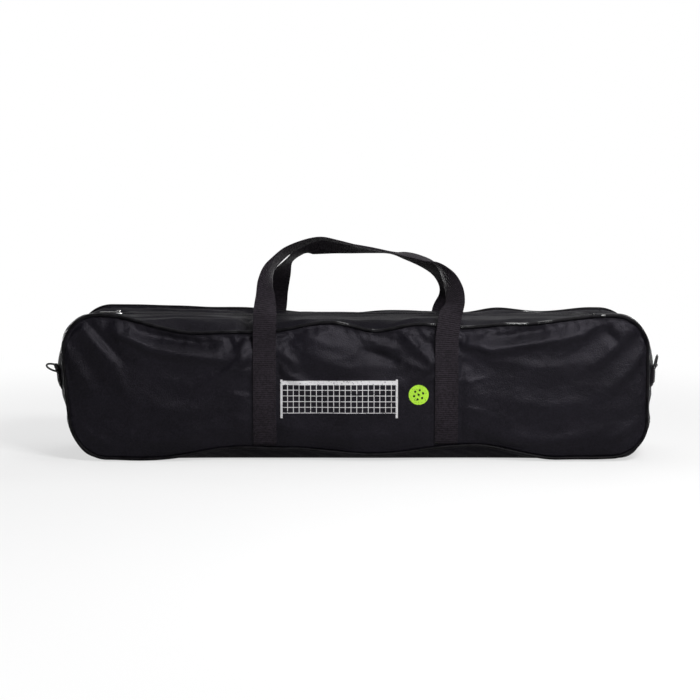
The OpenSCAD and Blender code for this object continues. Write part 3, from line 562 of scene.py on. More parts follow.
# ---------------- making pieces
def grid_faces(rows, columns, wrap=False, ring=False):
    """Quads between the points of a grid; wrap joins its last column to its first, and ring its rows."""
    return [(i * columns + j, i * columns + (j + 1) % columns,
             (i + 1) % rows * columns + (j + 1) % columns, (i + 1) % rows * columns + j)
            for i in range(rows if ring else rows - 1) for j in range(columns if wrap else columns - 1)]


def rod_faces(rows, columns, first=0):
    """Faces of a rod of rows sections, closed at both ends, whose points begin at first."""
    faces = grid_faces(rows, columns, wrap=True)
    faces += [tuple(reversed(range(columns))), tuple(range((rows - 1) * columns, rows * columns))]
    return [tuple(first + i for i in face) for face in faces]


def put(name, vertices, faces, finish, uvs=None):
    """A mesh piece from points in millimetres."""
    mesh = bpy.data.meshes.new(name)
    mesh.from_pydata([tuple(p) for p in np.asarray(vertices, float) * MM], [], faces)
    if uvs is not None:
        layer = mesh.uv_layers.new(name="weave")
        loops = np.empty(len(mesh.loops), int)
        mesh.loops.foreach_get("vertex_index", loops)
        layer.data.foreach_set("uv", (np.asarray(uvs, float)[loops] * MM).ravel())
    mesh.validate()
    piece = bpy.data.objects.new(name, mesh)
    bpy.context.collection.objects.link(piece)
    mesh.materials.append(FINISHES[finish].material)
    mesh.shade_smooth()
    return piece


def face_out(piece):
    """Turns a closed mesh so that its faces point outwards."""
    shape = bmesh.new()
    shape.from_mesh(piece.data)
    if shape.calc_volume(signed=True) < 0:
        bmesh.ops.reverse_faces(shape, faces=shape.faces)
        shape.to_mesh(piece.data)
    shape.free()
    piece.data.shade_smooth()


def apply(piece, kind, **settings):
    """Adds a modifier and applies it."""
    bpy.ops.object.select_all(action="DESELECT")
    bpy.context.view_layer.objects.active = piece
    piece.select_set(True)
    modifier = piece.modifiers.new(kind.lower(), kind)
    for name, value in settings.items():
        setattr(modifier, name, value)
    bpy.ops.object.modifier_apply(modifier=modifier.name)


def stand_in(piece, *nodes, body="bag"):
    """The piece rides a body in the place of CAD nodes."""
    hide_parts(*nodes)
    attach(piece, body)


def cloth(name, grid, finish, inward, thickness=CLOTH_T, uv_turn=False):
    """A sheet of cloth from a grid of its outer points; inward tells which way the grid's normals
    have to be turned, 1 or -1."""
    rows, columns = grid.shape[:2]
    along = run_length(grid.swapaxes(0, 1)).T
    along = along - along[:, columns // 2][:, None]
    down = run_length(grid)
    uv = np.stack([down, along] if uv_turn else [along, down], axis=2).reshape(-1, 2)
    piece = put(name, grid.reshape(-1, 3), grid_faces(rows, columns), finish, uv)
    apply(piece, "SOLIDIFY", thickness=thickness * MM, offset=-1.0 * inward, use_even_offset=False)
    face_out(piece)
    return piece


def ribbon(name, places, widths, across, thick, finish, edge=0.5):
    """Flat webbing with rounded, slightly thicker edges, along a path of places."""
    places, widths = np.asarray(places, float), np.asarray(widths, float)
    tangents = unit(np.gradient(places, axis=0))
    widths = unit(widths - (widths * tangents).sum(1)[:, None] * tangents)
    ups = np.cross(tangents, widths)
    half_w, half_t = across / 2, thick / 2
    section = []
    for side in (1, -1):
        flat_part = np.linspace(-side * (half_w - edge * 1.2), side * (half_w - edge * 1.2), 6)
        section += [(s, side * half_t * (1 - 0.14 * math.cos(math.pi * s / half_w) ** 2)) for s in flat_part]
        section += [(side * (half_w - edge * inset), side * half_t * tall)
                    for inset, tall in ((0.4, 0.86), (0, 0.35), (0, -0.35), (0.4, -0.86))]
    section = np.array(section)
    points = (places[:, None] + section[None, :, 0, None] * widths[:, None]
              + section[None, :, 1, None] * ups[:, None])
    run = run_length(places)
    uv = np.stack(np.broadcast_arrays(section[None, :, 0], run[:, None]), axis=2).reshape(-1, 2)
    piece = put(name, points.reshape(-1, 3), rod_faces(len(places), len(section)), finish, uv)
    face_out(piece)
    return piece


def cord_ring(name, centres, normals, radius, finish, sides=10):
    """A round cord in a closed ring; normals are a direction square to its path at each centre."""
    tangents = unit(np.roll(centres, -1, axis=0) - np.roll(centres, 1, axis=0))
    sideways = np.cross(tangents, normals)
    turn = np.linspace(0, 2 * math.pi, sides, endpoint=False)
    points = (centres[:, None] + radius * (np.cos(turn)[None, :, None] * normals[:, None]
                                           + np.sin(turn)[None, :, None] * sideways[:, None]))
    faces = grid_faces(len(centres), sides, wrap=True, ring=True)
    piece = put(name, points.reshape(-1, 3), faces, finish)
    face_out(piece)
    return piece


def stitches(name, runs, out, pitch=4.2, length=2.9, wide=0.62, tall=0.42):
    """Short raised threads along runs of places, standing up in the direction out."""
    out = unit(np.asarray(out, float))
    vertices, faces = [], []
    for places in runs:
        run = run_length(places)
        for start in np.arange(pitch / 2, run[-1] - length, pitch):
            spots = [np.array([np.interp(start + share * length, run, places[:, k]) for k in range(3)])
                     for share in (0, 0.5, 1)]
            side = np.cross(out, unit(spots[2] - spots[0]))
            faces += rod_faces(3, 4, len(vertices))
            for spot, size in zip(spots, (0.35, 1.0, 0.35)):
                for c, s in ((1, -0.5), (0.5, 0.8), (-0.5, 0.8), (-1, -0.5)):
                    vertices.append(spot + side * (c * wide / 2) + out * (s * tall * size))
    piece = put(name, vertices, faces, "thread")
    face_out(piece)
    return piece


def lines(corners, pairs, count):
    """Evenly spaced points on the lines between pairs of corners."""
    t = np.linspace(0, 1, count)[:, None]
    return [blend(np.array(corners[a], float), np.array(corners[b], float), t) for a, b in pairs]


def finish_node(node, finish):
    """A CAD node that stays, with its own material."""
    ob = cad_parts[node]
    ob.data.materials.clear()
    ob.data.materials.append(FINISHES[finish].material)


def crisp_copy(node, name, finish, bevel, body):
    """A copy of a rigid node with its edges rounded over."""
    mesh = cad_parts[node].data.copy()
    mesh.name = name
    piece = bpy.data.objects.new(name, mesh)
    bpy.context.collection.objects.link(piece)
    mesh.materials.clear()
    mesh.materials.append(FINISHES[finish].material)
    shape = bmesh.new()
    shape.from_mesh(mesh)
    bmesh.ops.remove_doubles(shape, verts=shape.verts, dist=0.00002)
    bmesh.ops.dissolve_limit(shape, angle_limit=math.radians(3), verts=shape.verts, edges=shape.edges)
    shape.to_mesh(mesh)
    shape.free()
    apply(piece, "BEVEL", width=bevel * MM, segments=2, limit_method="ANGLE",
          angle_limit=math.radians(35), use_clamp_overlap=True)
    bpy.ops.object.shade_smooth_by_angle(angle=math.radians(40))
    stand_in(piece, node, body=body)


# ---------------- cloth that settles
def spread(values, at, count):
    """Values known at some rows, worked out for every row of count."""
    flat = values.reshape(len(at), -1)
    full = [np.interp(np.arange(count), at, column) for column in flat.T]
    return np.stack(full, axis=1).reshape(count, *values.shape[1:])


def settled(grid, held, slack=0.014, frames=24, reach=6.0, step=2, stiff=12.0, bend=0.4, mass=0.02):
    """How far each point of a sheet moves as the sheet, cut a little too large, sags and creases
    between the places where it is held."""
    rows, columns = np.arange(0, grid.shape[0], step), np.arange(0, grid.shape[1], step)
    coarse = grid[np.ix_(rows, columns)]
    flat = coarse.reshape(-1, 3)
    mesh = bpy.data.meshes.new("settling")
    mesh.from_pydata([tuple(p) for p in flat * MM], [], grid_faces(len(rows), len(columns)))
    sheet = bpy.data.objects.new("settling", mesh)
    bpy.context.collection.objects.link(sheet)
    pins = sheet.vertex_groups.new(name="held")
    for i in np.flatnonzero(held[np.ix_(rows, columns)].ravel()):
        pins.add([int(i)], 1.0, "REPLACE")
    weave = sheet.modifiers.new("settle", "CLOTH")
    setup = weave.settings
    setup.vertex_group_mass = "held"
    setup.shrink_min = -slack
    setup.mass, setup.quality, setup.air_damping = mass, 6, 2.0
    setup.tension_stiffness = setup.compression_stiffness = stiff
    setup.shear_stiffness, setup.bending_stiffness = stiff / 3, bend
    weave.collision_settings.use_collision = False
    weave.point_cache.frame_end = frames
    scene = bpy.context.scene
    for tick in range(1, frames + 1):
        scene.frame_set(tick)
    seen = sheet.evaluated_get(bpy.context.evaluated_depsgraph_get())
    moved = np.array([v.co for v in seen.data.vertices]) / MM - flat
    scene.frame_set(1)
    bpy.data.objects.remove(sheet)
    size = np.linalg.norm(moved, axis=1)[:, None]
    moved *= reach * np.tanh(size / reach) / np.maximum(size, 1e-6)
    moved = moved.reshape(coarse.shape).swapaxes(0, 1)
    across = spread(moved, columns, grid.shape[1]).swapaxes(0, 1)
    return spread(across, rows, grid.shape[0])


# ---------------- front and back panels
# Folds of the front panel, in millimetres along x and z, as strokes() takes them
FRONT_FOLDS = [
    # the cloth falls in under the top seam
    ([(-428, 236), (-400, 230), (-366, 222), (-330, 211), (-290, 202), (-250, 199), (-196, 199)],
     9, 11, -8.0),
    ([(-118, 204), (-84, 212)], 8, 8, -3.0),
    ([(8, 204), (34, 200), (66, 205)], 7, 8, -4.0),
    ([(172, 212), (196, 211), (216, 214)], 6, 7, -3.0),
    ([(236, 214), (280, 217), (330, 222), (372, 229)], 7, 8, -5.0),
    # from the upper left corner down into the panel
    ([(-464, 236), (-434, 206), (-412, 184), (-394, 162)], 14, 20, 7.6),
    ([(-452, 243), (-424, 212), (-400, 186), (-384, 170)], 8, 8, -6.0),
    ([(-474, 200), (-454, 160), (-440, 110)], 12, 22, 2.4),
    ([(-404, 232), (-386, 214), (-352, 202)], 9, 12, 5.0),
    # long ridge under the left half of the top seam
    ([(-424, 228), (-380, 214), (-332, 195), (-285, 184), (-238, 176), (-186, 170)], 23, 11, 11.5),
    ([(-200, 196), (-186, 178), (-178, 158)], 14, 22, 6.0),
    ([(-214, 214), (-206, 198), (-198, 184)], 7, 7, -5.0),
    ([(-376, 224), (-326, 208), (-270, 200), (-222, 198)], 8, 9, -6.0),
    ([(-300, 216), (-262, 206), (-230, 205)], 6, 8, 3.0),
    # the middle
    ([(-118, 208), (-82, 212), (-46, 198), (-4, 192), (16, 200)], 16, 30, 8.0),
    ([(-92, 186), (-50, 170), (-12, 158), (16, 164)], 14, 26, 6.0),
    ([(-126, 188), (-104, 170), (-96, 150)], 8, 12, 4.0),
    ([(8, 210), (34, 201), (68, 191)], 8, 11, 6.0),
    ([(14, 188), (44, 178), (78, 166)], 8, 10, -7.5),
    ([(80, 216), (92, 204), (106, 188)], 9, 14, 8.0),
    ([(104, 192), (120, 176), (138, 154)], 8, 14, 6.5),
    ([(62, 176), (92, 164), (128, 150)], 8, 16, 4.0),
    ([(-118, 150), (-70, 128), (-10, 120), (60, 130), (120, 146)], 10, 24, 2.6),
    # right half
    ([(170, 198), (217, 190), (281, 199), (328, 206), (375, 215), (396, 228), (424, 238)], 18, 9, 10.0),
    ([(180, 204), (206, 196), (240, 186)], 16, 10, 4.5),
    ([(176, 214), (226, 208), (270, 213), (330, 221)], 7, 8, -6.0),
    ([(468, 234), (448, 212), (428, 192), (392, 164)], 10, 18, 7.0),
    ([(404, 228), (424, 208), (436, 196)], 7, 7, -4.0),
    ([(480, 190), (456, 156), (424, 122)], 9, 20, 4.5),
    ([(246, 170), (312, 158), (372, 166), (424, 158)], 13, 30, 3.6),
    # pulls beside the straps
    ([(-208, 159), (-186, 154), (-170, 153)], 4, 6, 1.8),
    ([(-218, 118), (-188, 112), (-170, 111)], 4, 6, 1.8),
    ([(-204, 79), (-184, 71), (-170, 70)], 4, 6, 1.2),
    ([(172, 138), (190, 136), (216, 142)], 4, 6, 1.8),
    ([(172, 92), (188, 91), (218, 83)], 4, 6, 1.6),
    ([(172, 63), (190, 60), (214, 51)], 4, 6, 1.4),
    ([(-130, 66), (-112, 58), (-92, 58)], 4, 6, 1.2),
    ([(130, 74), (114, 68), (96, 70)], 4, 6, 1.2),
    # above the base seam
    ([(-420, 52), (-360, 36), (-300, 40), (-240, 58), (-200, 54)], 16, 12, 4.0),
    ([(-118, 58), (-60, 44), (0, 40), (70, 44), (116, 52)], 15, 11, 3.4),
    ([(190, 62), (250, 40), (330, 34), (420, 50)], 16, 12, 4.0),
    ([(-340, 98), (-280, 84), (-226, 92)], 12, 18, 2.6),
    ([(246, 106), (310, 92), (380, 102)], 12, 18, 2.6),
    ([(-456, 62), (-430, 40), (-404, 30)], 9, 10, 3.6),
    ([(462, 68), (436, 44), (410, 34)], 9, 10, 3.6),
]
BACK_FOLDS = [([(-x, z) for x, z in points], right, left, tall * 0.8)
              for points, left, right, tall in FRONT_FOLDS]


def tuck_into_seam(grid, face):
    """The panel's edge goes on into the piping."""
    lip = NORMALS[face] * SEAM_LIP
    wide, tall = len(COLUMNS), PANEL_ROWS - 1
    edges = ((grid[0], lip[:wide]), (grid[1:-1, -1], lip[wide:wide + tall]),
             (grid[-1, ::-1], lip[wide + tall:2 * wide + tall]), (grid[-2:0:-1, 0], lip[2 * wide + tall:]))
    for points, move in edges:
        points[:, [0, 2]] += move


def panel(face, name, node, finish, folds):
    x, v = np.meshgrid(COLUMNS, ROWS)
    px, pz = panel_xz(face, x, v)
    edge = np.maximum(0, np.minimum.reduce([pz - base_z(face, x), top_z(face, x) - pz,
                                            px + HALF_LEN, HALF_LEN - px]))
    free = ease(edge / 14)
    strap = np.minimum(np.abs(px - STRAP_X), np.abs(px + STRAP_X))
    loose = ease((strap - STRAP_W / 2 + 4) / 12)
    height = strokes(px, pz, folds)
    height += 2.4 * crumple(px, pz, 120, 4.0 + face, (0.7, 1.3))
    height += 0.8 * crumple(px, pz, 40, 9.0 + face, (0.75, 1.3))
    height *= free * loose
    # the cloth puckers along the piping
    run = px * 0.35 + pz * 0.08
    height += 0.3 * np.sin(run + 2 * np.sin(px * 0.011)) * near(edge - 7, 7) * loose * ease(edge / 5)
    # tucked in under the top piping
    height -= 2.4 * near(top_z(face, x) - pz - 5.5, 4) * ease(edge / 3)
    # pressed down beside the straps
    height -= 1.6 * near(strap - STRAP_W / 2 - 5, 7) * free
    grid = np.stack([px, face * (HALF_DEPTH + crown(x, v) + height), pz], axis=2)
    # the lower part is packed tight, so it moves less
    may_move = (0.22 + 0.78 * ease((v - 0.32) / 0.45)) * ease(edge / 8)
    grid = grid + settled(grid, (edge < 1.5) | (strap < STRAP_W / 2 + 1)) * may_move[..., None]
    tuck_into_seam(grid, face)
    stand_in(cloth(name, grid, finish, -face), node)


panel(-1, "front_cloth", "front_panel", "printed", FRONT_FOLDS)
panel(1, "back_cloth", "back_panel", "cloth", BACK_FOLDS)


# ---------------- gussets
def gusset(name, node, start, stop, folds, hold_down=False):
    """Cloth of an end or the base; hold_down keeps it flat where the bag stands."""
    grid, out = gusset_grid(start, stop)
    x, y, z = grid[..., 0], grid[..., 1], grid[..., 2]
    edge = SEAM_Y - np.abs(y)
    height = strokes(y, z, folds) + 1.5 * crumple(y + x * 0.6, z + x * 0.3, 60, 2.0)
    height *= ease(edge / 30)
    height += 0.6 * np.sin((z + x * 0.4) * 0.42) * near(edge - 9, 9) * ease(edge / 5)
    if hold_down:
        height *= ease((z - 1.5) / 8)
    grid = grid + out * height[..., None]
    low, high = (grid[:, [i]] + out[:, [i]] * SEAM_LIP + [0, side * LIP_OUT, 0]
                 for i, side in ((0, -1), (-1, 1)))
    grid = np.concatenate([low, grid, high], axis=1)
    grid[..., 2] = np.maximum(0, grid[..., 2])
    stand_in(cloth(name, grid, "gusset", 1), node)


# Folds of the end panels, in millimetres along y and z
END_FOLDS = [
    ([(-86, 214), (-60, 180), (-30, 150)], 10, 12, 4.0),
    ([(86, 220), (58, 186), (26, 160)], 10, 12, 4.0),
    ([(-30, 226), (-18, 186), (-6, 130)], 9, 9, 2.6),
    ([(-84, 34), (-50, 62), (-20, 70)], 9, 12, 3.4),
    ([(84, 30), (54, 58), (10, 64)], 9, 12, 3.4),
    ([(-70, 110), (-10, 96), (66, 112)], 12, 14, 2.6),
]
MIRRORED_FOLDS = [([(-y, z) for y, z in points], right, left, tall)
                  for points, left, right, tall in END_FOLDS]
gusset("left_end_cloth", "left_end_gusset", LEFT_FROM, SEAM_N + BASE_FROM, END_FOLDS)
gusset("right_end_cloth", "right_end_gusset", BASE_TO, RIGHT_TO, MIRRORED_FOLDS)
gusset("base_cloth", "base_gusset", BASE_FROM, BASE_TO, [], hold_down=True)


# ---------------- piping
for face, name in FACES:
    normals = NORMALS[face]
    along = np.arange(SEAM_N)
    wobble = 0.35 * np.sin(along * 0.21) * np.sin(along * 0.037)
    spots = SEAMS[face] + normals * (PIPING_R + SEAT_GAP + wobble[:, None])
    y = np.full(SEAM_N, face * (HALF_DEPTH - CLOTH_T + PIPING_R))
    centres = np.stack([spots[:, 0], y, spots[:, 1]], axis=1)
    directions = np.stack([normals[:, 0], 0 * y, normals[:, 1]], axis=1)
    cord = cord_ring(f"{name}_piping_cord", centres, directions, PIPING_R, f"{name}_piping")
    stand_in(cord, f"{name}_piping")


def bend_with_flap(piece, face, *nodes):
    """Hides the CAD nodes that the piece stands in for, and bakes its transform into its mesh."""
    if nodes:
        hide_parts(*nodes)
    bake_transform(piece)


TOP_X = np.linspace(-TOP_FLAT + SEAT_GAP, TOP_FLAT - SEAT_GAP, 240)
TOP_Y = np.concatenate([np.linspace(SEAM_Y, FOLD_Y, 14)[:-1], np.linspace(FOLD_Y, FLAP_EDGE_Y + 2, 20),
                        [FLAP_EDGE_Y + 0.8, FLAP_EDGE_Y]])
# Folds of the top cloth, in millimetres along x and out from the zip
TOP_FOLDS = [
    ([(-360, 80), (-300, 66), (-230, 74)], 9, 12, 3.4),
    ([(-120, 72), (-60, 62), (10, 70)], 9, 12, 3.2),
    ([(-400, 52), (-300, 40), (-200, 50)], 8, 9, 3.6),
    ([(60, 78), (110, 64), (180, 72)], 9, 12, 3.4),
    ([(230, 80), (300, 62), (372, 70)], 9, 12, 3.0),
    ([(-400, 70), (-386, 50), (-372, 24)], 7, 7, 2.2),
    ([(400, 70), (386, 50), (372, 24)], 7, 7, 2.2),
    ([(-184, 94), (-183, 66), (-177, 40)], 9, 8, -8.0),
    ([(178, 84), (160, 60), (150, 40)], 10, 10, 2.0),
]
HEM_SEAMS = (FLAP_EDGE_Y + 2.6, FLAP_EDGE_Y + 9.0)


def top_cloth(face, side):
    """The cloth from the seam to the zip, and the two rows of stitches that hold the zip."""
    x, y = np.meshgrid(TOP_X, TOP_Y)
    z = top_cloth_z(y, top_z(face, x))
    free = ease((SEAM_Y - y) / 12) * ease((y - FLAP_EDGE_Y) / 14)
    lift = (strokes(x, y, TOP_FOLDS) + 1.3 * crumple(x, y, 55, 12.0 + face, (0.6, 1.0))) * free
    lift += 0.9 * np.sin(x * 0.013 + face) * ease((SEAM_Y - y) / 30)
    # raised hem beside the zip, with the cloth turned under
    lift += 0.7 * near(y - FLAP_EDGE_Y - 5, 4.5)
    grid = np.stack([x, face * y, z + lift], axis=2)
    grid = np.concatenate([grid[:1] + [0, face * LIP_OUT, SEAM_LIP], grid])
    top = cloth(f"{side}_top_cloth", grid, "top", -face)
    bend_with_flap(top, face, f"top_{side}_strip", f"top_{side}_flap")

    xs = np.linspace(-ZIP_LEN / 2 + 2, ZIP_LEN / 2 - 2, 200)
    rows = [grid[int(np.argmin(np.abs(grid[:, 0, 1] * face - seam_y)))] for seam_y in HEM_SEAMS]
    runs = [np.stack([xs, np.full(len(xs), row[0, 1]), np.interp(xs, row[:, 0], row[:, 2]) + 0.1], axis=1)
            for row in rows]
    bend_with_flap(stitches(f"{side}_zip_stitches", runs, (0, 0, 1)), face)


def zip_tape(face, side):
    """Woven tape, flat beside the teeth and then under the flap."""
    xs = np.linspace(-ZIP_LEN / 2, ZIP_LEN / 2, 160)
    section_y = np.array([TAPE_EDGE_Y, 3, 5, 7, FLAP_EDGE_Y, 13, 18, TAPE_EDGE_Y + TAPE_W])
    section_z = np.where(section_y > FLAP_EDGE_Y, ZIP_Z - (section_y - FLAP_EDGE_Y) * FLAP_SLOPE, ZIP_Z)
    grid = np.stack(np.broadcast_arrays(xs[None, :], face * section_y[:, None], section_z[:, None]), axis=2)
    tape = cloth(f"{side}_zip_tape", grid, "tape", face, TAPE_T, uv_turn=True)
    bend_with_flap(tape, face, f"zip_{side}_tape")


# Outline of a tooth, whose nose reaches past the middle of the zip, and the layers that it is built of
TOOTH = np.array([(-1.05, 3.4, 0), (1.05, 3.4, 0), (1.05, 1.2, 0), (0.75, -0.6, 0), (1.1, -1.0, 0),
                  (0.6, -1.25, 0), (-0.6, -1.25, 0), (-1.1, -1.0, 0), (-0.75, -0.6, 0), (-1.05, 1.2, 0)])
TOOTH_LAYERS = [TOOTH * [0.86, 0.95, 1] + [0, 0.1, 0.25], TOOTH + [0, 0, 0.6], TOOTH + [0, 0, 1.7],
                TOOTH * [0.82, 0.93, 1] + [0, 0.1, 2.1]]


def zip_teeth(face, side):
    """One row of moulded teeth, and the cord that they stand on."""
    vertices, faces = [], []
    for k in range(TOOTH_N):
        middle = TOOTH_FROM + k * TOOTH_PITCH + (TOOTH_PITCH / 2 if face > 0 else 0) + TOOTH_HALF
        faces += rod_faces(len(TOOTH_LAYERS), len(TOOTH), len(vertices))
        vertices += [(middle + x, face * y, ZIP_Z + z) for layer in TOOTH_LAYERS for x, y, z in layer]
    cord_x = np.linspace(TOOTH_FROM - 4, -TOOTH_FROM + 4, 130)
    turns = np.linspace(0, 2 * math.pi, 8, endpoint=False)
    faces += rod_faces(len(cord_x), len(turns), len(vertices))
    vertices += [(x, face * (3.1 + 0.9 * math.cos(t)), ZIP_Z + 0.75 + 0.75 * math.sin(t))
                 for x in cord_x for t in turns]
    teeth = put(f"{side}_zip_teeth", vertices, faces, "teeth")
    face_out(teeth)
    teeth.data.shade_flat()
    bend_with_flap(teeth, face, f"zip_{side}_teeth")


for face, side in FACES:
    top_cloth(face, side)
    zip_tape(face, side)
    zip_teeth(face, side)


def patch_z(y, lift):
    """Height of a patch, humped over the zip."""
    return top_cloth_z(y, 0) + lift + 0.5 * near(np.abs(y) - 4, 5)


for side, name in ENDS:
    xs = np.sort(np.linspace(ZIP_LEN / 2 - 4, TOP_FLAT - 0.5, 14) * side)
    x, y = np.meshgrid(xs, np.linspace(-30, 30, 41))
    z = patch_z(y, 1.1) + 0.5 * crumple(x, y, 18, 21.0 + side)
    patch = cloth(f"{name}_zip_patch", np.stack([x, y, z], axis=2), "top", 1, 1.2)
    stand_in(patch, f"{name}_zip_tab")
    low, high = xs[0] + 3, xs[-1] - 3
    square = lines([(low, -27), (high, -27), (high, 27), (low, 27)], [(0, 1), (1, 2), (2, 3), (3, 0)], 24)
    runs = [np.column_stack([line, patch_z(line[:, 1], 1.4)]) for line in square]
    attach(stitches(f"{name}_patch_stitches", runs, (0, 0, 1)), "bag")

crisp_copy("zip_stop", "zip_stop_clip", "gunmetal", 0.4, "bag")
crisp_copy("zip_slider", "zip_slider_body", "nickel", 0.35, "zip_slider")
crisp_copy("zip_puller", "zip_puller_tab", "gunmetal", 0.3, "zip_puller")


# ---------------- straps and handles
# Stations of the handles: place with z above HANDLE_Z, and direction of the webbing's width
FRONT_HANDLE = [
    ((-STRAP_X, -LEG_Y, 0.4), (1, 0, 0)),
    ((-STRAP_X + 1, -LEG_Y + 1, 38), (1, 0.08, 0)),
    ((-STRAP_X + 2, -93, 66), (0.8, 0.6, 0)),
    ((-STRAP_X + 2, -80, 92), (0.55, 0.82, -0.05)),
    ((-STRAP_X + 11, -61, 117), (0.35, 0.92, -0.1)),
    ((-STRAP_X + 33, -44, 139), (0.25, 0.92, -0.25)),
    ((-STRAP_X + 64, -34, 154.5), (0.1, 0.96, -0.25)),
    ((-58, -32, 161.5), (0, 0.98, -0.18)),
    ((-28, -31, 156.5), (0, 0.99, -0.14)),
    ((5, -31, 148.5), (0, 0.99, -0.12)),
    ((36, -31, 142), (0, 0.99, -0.1)),
    ((60, -32, 138), (0, 0.99, -0.06)),
    ((84, -34, 135.5), (-0.03, 0.98, 0.14)),
    ((108, -38, 130), (-0.12, 0.96, 0.18)),
    ((STRAP_X - 17, -45, 120), (-0.3, 0.92, 0.15)),
    ((STRAP_X + 1, -59, 101), (-0.5, 0.86, 0.12)),
    ((STRAP_X + 12, -77, 80), (-0.62, 0.78, 0.05)),
    ((STRAP_X + 14, -92, 60), (-0.75, 0.66, 0)),
    ((STRAP_X + 6, -LEG_Y + 2, 38), (-0.98, 0.15, 0)),
    ((STRAP_X, -LEG_Y, 0.4), (-1, 0, 0))]
BACK_HANDLE = [
    ((-STRAP_X, LEG_Y, 0.4), (1, 0, 0)),
    ((-STRAP_X + 10, LEG_Y - 2, 32), (1, 0.05, 0)),
    ((-STRAP_X + 14, 88, 64), (0.97, 0.2, 0)),
    ((-STRAP_X + 20, 70, 90), (0.88, 0.46, 0)),
    ((-STRAP_X + 28, 53, 112), (0.62, 0.74, 0.16)),
    ((-STRAP_X + 47, 40, 129.5), (0.16, 0.96, -0.2)),
    ((-81, 25, 143), (0.05, 0.79, -0.6)),
    ((-45, 15, 145.5), (0, 0.79, -0.6)),
    ((-10, 15, 143), (0, 0.88, -0.46)),
    ((27, 15, 140), (0, 0.95, -0.28)),
    ((62, 17, 135.5), (-0.05, 0.98, -0.12)),
    ((92, 23, 128.5), (-0.2, 0.93, -0.32)),
    ((STRAP_X - 29, 35, 115.5), (-0.3, 0.9, -0.34)),
    ((STRAP_X - 3, 54, 94), (-0.5, 0.85, -0.1)),
    ((STRAP_X + 12, 73, 72), (-0.72, 0.68, -0.05)),
    ((STRAP_X + 13, 90, 51), (-0.85, 0.5, 0)),
    ((STRAP_X + 4, LEG_Y - 2, 30), (-1, 0.1, 0)),
    ((STRAP_X, LEG_Y, 0.4), (-1, 0, 0))]
STRAP_STITCH_X = STRAP_W / 2 - 3.4
BOX_STITCH = [(-15.6, 158), (15.6, 158), (-15.6, 184), (15.6, 184)]


def strap_path(face, side, count=34):
    """Middle of a strap from the base seam up to its handle."""
    x = side * STRAP_X
    v = np.linspace(STRAP_FOOT, float(strap_share(face, x)), count)
    bulge = STRAP_GAP + crown(x, v)
    bulge = np.where(v > 0.5, np.maximum(bulge, STRAP_OUT), bulge)
    px, pz = panel_xz(face, np.full(count, x), v)
    return np.stack([px, face * (HALF_DEPTH + bulge + STRAP_T / 2), pz], axis=1)


for face, stations, side in ((-1, FRONT_HANDLE, "front"), (1, BACK_HANDLE, "back")):
    up, down = strap_path(face, -1), strap_path(face, 1)[::-1]
    u = np.linspace(0, len(stations) - 1, (len(stations) - 1) * 9 + 1)
    arc = through([np.array(place) + [0, 0, HANDLE_Z] for place, _ in stations], u)
    turn = through([width for _, width in stations], u)
    places = np.concatenate([up[:-1], arc[1:-1], down[1:]])
    widths = np.concatenate([np.tile([1.0, 0, 0], (len(up) - 1, 1)), turn[1:-1],
                             np.tile([-1.0, 0, 0], (len(down) - 1, 1))])
    piece = ribbon(f"{side}_webbing", places, widths, STRAP_W, STRAP_T, "webbing")
    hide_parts(f"{side}_left_strap", f"{side}_right_strap", f"{side}_handle")
    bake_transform(piece)

    runs = []
    for path in (up, down[::-1]):
        sewn = path[path[:, 2] < 186]
        runs += [sewn + [x, face * (STRAP_T / 2 + 0.05), 0] for x in (-STRAP_STITCH_X, STRAP_STITCH_X)]
        for line in lines(BOX_STITCH, [(0, 1), (2, 3), (0, 3), (2, 1)], 16):
            xs, ys = (np.interp(line[:, 1], path[:, 2], path[:, axis]) for axis in (0, 1))
            runs.append(np.stack([xs + line[:, 0], ys + face * (STRAP_T / 2 + 0.05), line[:, 1]], axis=1))
    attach(stitches(f"{side}_strap_stitches", runs, (0, face, 0)), "bag")


# ---------------- ring tabs
def end_cloth_x(side, y, z):
    """How far out the cloth of an end panel stands."""
    return (abs(slumped(side * HALF_LEN, z))
            + END_BULGE * wave(z / BAG_HEIGHT, END_BELLY) * end_roundness(y))


# A tab lies square to the cloth of its end panel
TAB_YAW = math.atan(1.6 * END_BULGE / HALF_DEPTH * (TAB_Y / HALF_DEPTH) ** 0.6)
TAB_STITCH = [(-9.6, -10), (9.6, -10), (9.6, -27), (-9.6, -27)]


def end_place(side):
    """Turn of an end's tab, and the x and z of its ring's bar."""
    top, middle, foot = (end_cloth_x(side, TAB_Y, RING_Z[side] - share * TAB_LEN) for share in (0, 0.5, 1))
    lean = math.atan((top - foot) / TAB_LEN)
    bar_x = middle + math.tan(lean) * TAB_LEN / 2 + (STRAP_GAP + TAB_T + LOOP_R) / math.cos(lean)
    turn = (Matrix.Rotation(-TAB_YAW, 3, "Z") @ Matrix.Rotation(lean, 3, "Y")
            @ Matrix.Rotation(TAB_ROLL[side], 3, "X"))
    return np.array(turn), bar_x, RING_Z[side]


def at_end(side, local):
    """Points given along the tab (out, across, up) put on an end panel."""
    turn, bar_x, bar_z = end_place(side)
    spots = np.asarray(local, float) @ turn.T
    return np.stack([side * (bar_x + spots[:, 0]), spots[:, 1] - TAB_Y, bar_z + spots[:, 2]], axis=1)


def way_at_end(side, local):
    middle, ahead = at_end(side, [(0, 0, 0), local])
    return ahead - middle


